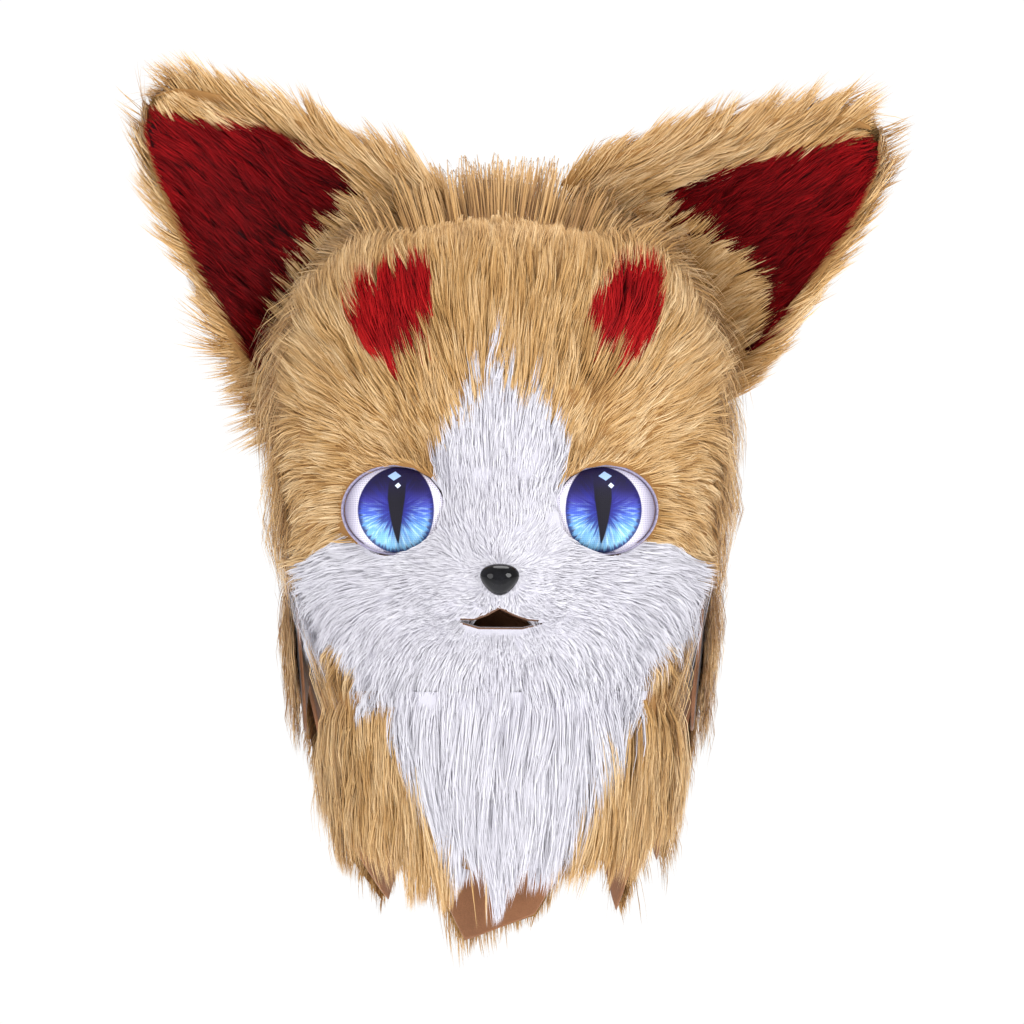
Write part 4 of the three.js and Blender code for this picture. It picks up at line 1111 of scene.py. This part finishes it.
    # Printed highlights with slanted sides: their middles, half widths and half heights, in millimetres
    for middle, height, wide, high, code in (
        (2.6 * side, 20.0, 4.2, 2.7, "9DBBEE"), (2.6 * side + 3.0, 14.4, 1.9, 1.7, "D8E4FF"),
    ):
        off = [add(tree, "Math:DIVIDE",
                   add(tree, "Math:ABSOLUTE", add(tree, "Math:SUBTRACT", part, centre)), half)
               for part, centre, half in ((x, middle, wide), (z, height, high))]
        glint = add(tree, SMOOTH, add(tree, "Math:ADD", *off), 1.08, 0.92)
        shade = add(tree, MIX, {0: glint, 6: shade, 7: linear(code)}, out=2)
    bump = add(tree, "Bump", {"Strength": 0.35, "Distance": 0.0003, "Height": hole}, invert=True)
    fill(tree, shader, {"Base Color": shade, "Normal": bump, "Roughness": 0.6, "Specular IOR Level": 0.25})
    return material


def eye_rim_material():
    """Moulded ABS edging, satin, with a faint grain from its mould."""
    material, tree, shader = blank_material("satin ABS edging")
    at = add(tree, "TexCoord", out="Object")
    grain = add(tree, "TexNoise", {"Vector": at, "Scale": 900.0, "Detail": 2.0})
    shade = add(tree, "ValToRGB", grain, stops=[(0.3, linear("77708A")), (0.7, linear("A29CB4"))])
    fill(tree, shader, {"Base Color": shade, "Roughness": 0.3})
    return material


def dome_object(eye):
    """The domed mesh of an eye, with its wall, its turned-in edge and the map of its print."""
    rings, spokes, wall = 20, 72, 1.6 * MM
    half = [EYE_HALF[0] - EYE_RIM, EYE_HALF[1] - EYE_RIM]
    inner_half = EYE_HALF[0] - 0.2 * MM
    angle = np.linspace(0, 2 * math.pi, spokes, endpoint=False)
    points, flat = [], []
    for inset in (0.0, wall):
        for tilt in np.linspace(0, math.pi / 2, rings + 1)[:-1]:
            r = math.cos(tilt)
            wide = np.where(np.sin(angle) * eye.side < 0, inner_half, half[0])
            x, z = (wide - inset) * r * np.sin(angle), (half[1] - inset) * r * np.cos(angle)
            out = np.full(spokes, (EYE_BULGE - inset) * math.sin(tilt))
            points.append(eye.place(x, out, z, EYE_PADDING))
            flat.append(np.stack([x, z], 1))
        points.append(eye.place([0.0], [EYE_BULGE - inset], [0.0], EYE_PADDING))
        flat.append(np.zeros((1, 2)))
    points, flat = np.concatenate(points), np.concatenate(flat)
    shell = rings * spokes + 1
    faces = []
    for start, turn in ((0, 1), (shell, -1)):
        for k in range(rings - 1):
            for i in range(spokes):
                j = (i + 1) % spokes
                a, b = start + k * spokes + i, start + k * spokes + j
                faces.append((a, b, b + spokes, a + spokes)[::turn])
        last, top = start + (rings - 1) * spokes, start + rings * spokes
        faces += [(last + i, last + (i + 1) % spokes, top)[::turn] for i in range(spokes)]
    faces += [(i, shell + i, shell + (i + 1) % spokes, (i + 1) % spokes) for i in range(spokes)]
    mesh = bpy.data.meshes.new("eye_dome_" + eye.name)
    mesh.from_pydata(points.tolist(), [], faces)
    layer = mesh.uv_layers.new(name="print")
    corner = np.empty(len(mesh.loops), np.int32)
    mesh.loops.foreach_get("vertex_index", corner)
    layer.data.foreach_set("uv", (flat[corner] / 0.08 + 0.5).ravel())
    outward(mesh)
    mesh.shade_smooth()
    return bpy.data.objects.new(mesh.name, mesh)


def outward(mesh):
    bm = bmesh.new()
    bm.from_mesh(mesh)
    bmesh.ops.recalc_face_normals(bm, faces=bm.faces)
    bm.to_mesh(mesh)
    bm.free()


def smooth_copy(node, name, level=2, crease=40):
    """A CAD node's form copied, merged and rounded, with its sharp edges kept."""
    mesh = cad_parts[node].data.copy()
    mesh.name = name
    mesh.materials.clear()
    bm = bmesh.new()
    bm.from_mesh(mesh)
    bmesh.ops.remove_doubles(bm, verts=bm.verts, dist=1e-6)
    bmesh.ops.dissolve_limit(bm, angle_limit=math.radians(1), verts=bm.verts, edges=bm.edges)
    bmesh.ops.recalc_face_normals(bm, faces=bm.faces)
    layer = bm.edges.layers.float.new("crease_edge")
    for edge in bm.edges:
        if len(edge.link_faces) == 2 and edge.calc_face_angle() > math.radians(crease):
            edge[layer] = 0.8
    bm.to_mesh(mesh)
    bm.free()
    piece = link(bpy.data.objects.new(name, mesh))
    modifier = piece.modifiers.new("round", "SUBSURF")
    modifier.levels = modifier.render_levels = level
    applied = bpy.data.meshes.new_from_object(piece.evaluated_get(bpy.context.evaluated_depsgraph_get()))
    piece.modifiers.clear()
    piece.data = applied
    applied.shade_smooth()
    return piece


class FURSUIT_OT_eyes(bpy.types.Operator):
    """Set the printed mesh domes and their rims"""

    bl_idname = "fursuit.eyes"
    bl_label = "Eyes"

    def execute(self, context):
        rim_material = eye_rim_material()
        for eye in EYES:
            dome = dome_object(eye)
            dome.data.materials.append(eye_print("printed eye mesh " + eye.name, eye.side))
            finished(dome, ["eye_" + eye.name])
            rim = rim_object(eye)
            rim.data.materials.append(rim_material)
            finished(rim, ["eye_rim_" + eye.name])
        return {"FINISHED"}


def rim_object(eye):
    """The edging round a dome: an oval ring with a rounded section."""
    spokes, turns = 96, 12
    angle = np.linspace(0, 2 * math.pi, spokes, endpoint=False)
    section = np.linspace(0, 2 * math.pi, turns, endpoint=False)
    a, t = (v.ravel() for v in np.meshgrid(angle, section, indexing="ij"))
    wide, deep = 0.8 * MM, 2.0 * MM
    x = (EYE_HALF[0] - wide + wide * np.cos(t)) * np.sin(a)
    z = (EYE_HALF[1] - wide + wide * np.cos(t)) * np.cos(a)
    points = eye.place(x, deep + deep * np.sin(t), z)
    faces = []
    for i in range(spokes):
        for k in range(turns):
            i2, k2 = (i + 1) % spokes, (k + 1) % turns
            faces.append((i * turns + k, i2 * turns + k, i2 * turns + k2, i * turns + k2))
    piece = mesh_object("eye_edging_" + eye.name, points, faces)
    outward(piece.data)
    piece.data.shade_smooth()
    return piece


def nose_material():
    """Injection moulded ABS, polished, with the faint orange peel of a glossy moulding."""
    material, tree, shader = blank_material("polished black ABS")
    at = add(tree, "TexCoord", out="Object")
    peel = add(tree, "TexNoise", {"Vector": at, "Scale": 700.0, "Detail": 1.0})
    dust = add(tree, "TexNoise", {"Vector": at, "Scale": 160.0, "Detail": 4.0})
    shade = add(tree, "ValToRGB", dust, stops=[(0.35, linear("08080A")), (0.75, linear("17171B"))])
    rough = add(tree, "ValToRGB", dust, stops=[(0.4, (0.05,) * 3 + (1,)), (0.8, (0.13,) * 3 + (1,))])
    bump = add(tree, "Bump", {"Strength": 0.05, "Distance": 0.0002, "Height": peel})
    fill(tree, shader, {"Base Color": shade, "Roughness": rough, "Normal": bump, "Specular IOR Level": 0.2,
                        "Coat Weight": 0.08, "Coat Roughness": 0.04})
    return material


class FURSUIT_OT_nose(bpy.types.Operator):
    """Set the glossy nose"""

    bl_idname = "fursuit.nose"
    bl_label = "Nose"

    def execute(self, context):
        piece = smooth_copy("nose", "nose_button", 3, 180)
        for vertex in piece.data.vertices:
            vertex.co.x = NOSE[0] + (vertex.co.x - NOSE[0]) * NOSE_LET_OUT[0]
            vertex.co.z = NOSE[2] + (vertex.co.z - NOSE[2]) * NOSE_LET_OUT[1]
        piece.data.materials.append(nose_material())
        finished(piece, ["nose"])
        return {"FINISHED"}


def toned(shade, factor):
    """A colour made darker or paler by a factor."""
    return tuple(min(v * factor, 1) for v in shade[:3]) + (1,)


def suede_material():
    """Polyester suede: short brushed nap, matt with a faint sheen, mottled where it was stroked."""
    material, tree, shader = blank_material("brushed polyester suede")
    at = add(tree, "TexCoord", out="Object")
    suede = tuple(colours().suede)
    dark, pale = toned(suede, 0.62), toned(suede, 1.35)
    mottle = add(tree, "TexNoise", {"Vector": at, "Scale": 38.0, "Detail": 4.0})
    # Nap fibres lie about 0.6 mm apart
    nap = add(tree, "TexNoise", {"Vector": at, "Scale": 1500.0, "Detail": 3.0})
    base = add(tree, "ValToRGB", mottle, stops=[(0.3, dark), (0.5, suede), (0.72, pale)])
    fine = add(tree, "ValToRGB", nap, stops=[(0.35, dark), (0.65, pale)])
    base = add(tree, MIX, {0: 0.25, 6: base, 7: fine}, out=2)
    bump = add(tree, "Bump", {"Strength": 0.4, "Distance": 0.0004, "Height": nap})
    fill(tree, shader, {"Base Color": base, "Normal": bump, "Roughness": 0.9, "Sheen Weight": 0.35,
                        "Sheen Roughness": 0.5})
    return material


def cloth_piece(node, name, material, waves_high):
    piece = smooth_copy(node, name, 2, 35)
    mesh = piece.data
    co = np.empty(len(mesh.vertices) * 3)
    mesh.vertices.foreach_get("co", co)
    co = co.reshape(-1, 3)
    low = co[:, 2].max() - co[:, 2]
    ripple = waves_high * waves(co * (1, 1, 0.35), 55 * MM, 5) * step(low, 10 * MM, 110 * MM)
    radial = unit(co * (1, 1, 0))
    mesh.vertices.foreach_set("co", (co - radial * np.abs(ripple)[:, None]).ravel())
    piece.data.materials.append(material)
    finished(piece, [node])
    bm = bmesh.new()
    bm.from_mesh(mesh)
    area = sum(f.calc_area() for f in bm.faces) / 2
    bm.free()
    return piece


class FURSUIT_OT_cloth(bpy.types.Operator):
    """Hang the backing cloth of the bib and drape, and line the mouth"""

    bl_idname = "fursuit.cloth"
    bl_label = "Backing Cloth"

    def execute(self, context):
        suede = suede_material()
        cloth_piece("bib_cloth", "bib_backing", suede, 1.5 * MM)
        cloth_piece("drape_cloth", "drape_backing", suede, 2.0 * MM)
        cloth_piece("mouth_lining", "mouth_cloth", suede, 0.0)
        return {"FINISHED"}


def foam_material():
    """Skinned polyurethane foam: fine closed pores, matt, a little darker where it is handled."""
    material, tree, shader = blank_material("skinned polyurethane foam")
    at = add(tree, "TexCoord", out="Object")
    foam = tuple(colours().foam)
    # Pores about 1.6 mm apart, and clouds of about 45 mm
    pores = add(tree, "TexVoronoi", {"Vector": at, "Scale": 620.0})
    cloud = add(tree, "TexNoise", {"Vector": at, "Scale": 22.0, "Detail": 5.0})
    shade = add(tree, "ValToRGB", cloud,
                stops=[(0.3, toned(foam, 0.6)), (0.55, foam), (0.8, toned(foam, 1.3))])
    bump = add(tree, "Bump", {"Strength": 0.5, "Distance": 0.0005, "Height": pores})
    fill(tree, shader, {"Base Color": shade, "Normal": bump, "Roughness": 0.85})
    return material


class FURSUIT_OT_base(bpy.types.Operator):
    """Finish the moulded base"""

    bl_idname = "fursuit.base"
    bl_label = "Moulded Base"

    def execute(self, context):
        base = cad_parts["head_base"]
        base.data.materials.clear()
        base.data.materials.append(foam_material())
        return {"FINISHED"}


class FURSUIT_OT_stage(bpy.types.Operator):
    """Set the floor, the lights and the camera"""

    bl_idname = "fursuit.stage"
    bl_label = "Stage"

    def execute(self, context):
        scene = context.scene
        bpy.ops.mesh.primitive_plane_add(size=14, location=(0, 0, -0.8))
        floor = context.active_object
        floor.name = "floor"
        material, tree, shader = blank_material("pale paper floor")
        tone = add(tree, "TexNoise", {"Vector": add(tree, "TexCoord", out="Object"), "Scale": 2.0})
        pale = tuple(colours().floor)
        shade = add(tree, "ValToRGB", tone, stops=[(0.0, toned(pale, 0.99)), (1.0, pale)])
        fill(tree, shader, {"Base Color": shade, "Roughness": 0.9, "Emission Color": (1, 1, 1, 1),
                            "Emission Strength": 0.55})
        floor.data.materials.append(material)
        # The walls light the head softly, and look white to the camera
        world = scene.world or bpy.data.worlds.new("studio")
        scene.world = world
        world.use_nodes = True
        tree = world.node_tree
        tree.nodes.clear()
        soft, seen = (add(tree, "Background", (1, 1, 1, 1), strength) for strength in (0.55, 1.02))
        camera_ray = add(tree, "LightPath", out="Is Camera Ray")
        add(tree, "OutputWorld", add(tree, "MixShader", camera_ray, soft, seen))
        for name, place, size, power in (
            ("key softbox", (0.9, -1.5, 0.4), 0.9, 20),
            ("fill softbox", (-1.0, -1.4, 0.15), 1.1, 12),
            ("top softbox", (0.1, 0.1, 1.3), 0.9, 14),
            ("back softbox", (0.2, 1.5, 0.5), 1.0, 20),
        ):
            lamp = bpy.data.lights.new(name, "AREA")
            lamp.shape, lamp.size, lamp.energy = "DISK", size, power
            light = link(bpy.data.objects.new(name, lamp))
            light.location = place
            light.rotation_mode = "QUATERNION"
            light.rotation_quaternion = (Vector((0, 0, -0.12)) - Vector(place)).to_track_quat("-Z", "Y")
        camera = bpy.data.cameras.new("camera")
        camera.sensor_width, camera.lens = 36, 351.6
        camera.clip_start, camera.clip_end = 0.05, 60
        eye = link(bpy.data.objects.new("camera", camera))
        target = Vector((0.0072, 0, -0.1302))
        eye.location = target + Vector((0, -6, 0))
        eye.rotation_mode = "QUATERNION"
        eye.rotation_quaternion = (target - eye.location).to_track_quat("-Z", "Y")
        scene.camera = eye
        scene.view_settings.view_transform = "Standard"
        return {"FINISHED"}


class FURSUIT_PT_head(bpy.types.Panel):
    """Lists the head's settings and the pieces that can be made"""

    bl_idname = "FURSUIT_PT_head"
    bl_label = "Fursuit Head"
    bl_space_type = "VIEW_3D"
    bl_region_type = "UI"
    bl_category = "Fursuit"

    def draw(self, context):
        layout = self.layout
        for group in (pile(), colours()):
            box = layout.box()
            for key in group.__annotations__:
                box.prop(group, key)
        for operator in OPERATORS:
            layout.operator(operator.bl_idname)


OPERATORS = [
    FURSUIT_OT_stage,
    FURSUIT_OT_base,
    FURSUIT_OT_head_fur,
    FURSUIT_OT_ear_fur,
    FURSUIT_OT_hanging_fur,
    FURSUIT_OT_eyes,
    FURSUIT_OT_nose,
    FURSUIT_OT_cloth,
]
CLASSES = [FursuitPile, FursuitColours, *OPERATORS, FURSUIT_PT_head]


def register():
    for item in CLASSES:
        bpy.utils.register_class(item)
    setattr(bpy.types.Scene, PILE, PointerProperty(type=FursuitPile))
    setattr(bpy.types.Scene, COLOURS, PointerProperty(type=FursuitColours))


def unregister():
    delattr(bpy.types.Scene, COLOURS)
    delattr(bpy.types.Scene, PILE)
    for item in reversed(CLASSES):
        bpy.utils.unregister_class(item)


def main():
    register()
    for operator in OPERATORS:
        group, name = operator.bl_idname.split(".")
        getattr(getattr(bpy.ops, group), name)()
    for name in STRANDS:
        bpy.data.objects.remove(bpy.data.objects[name])


if __name__ == "__main__":
    main()
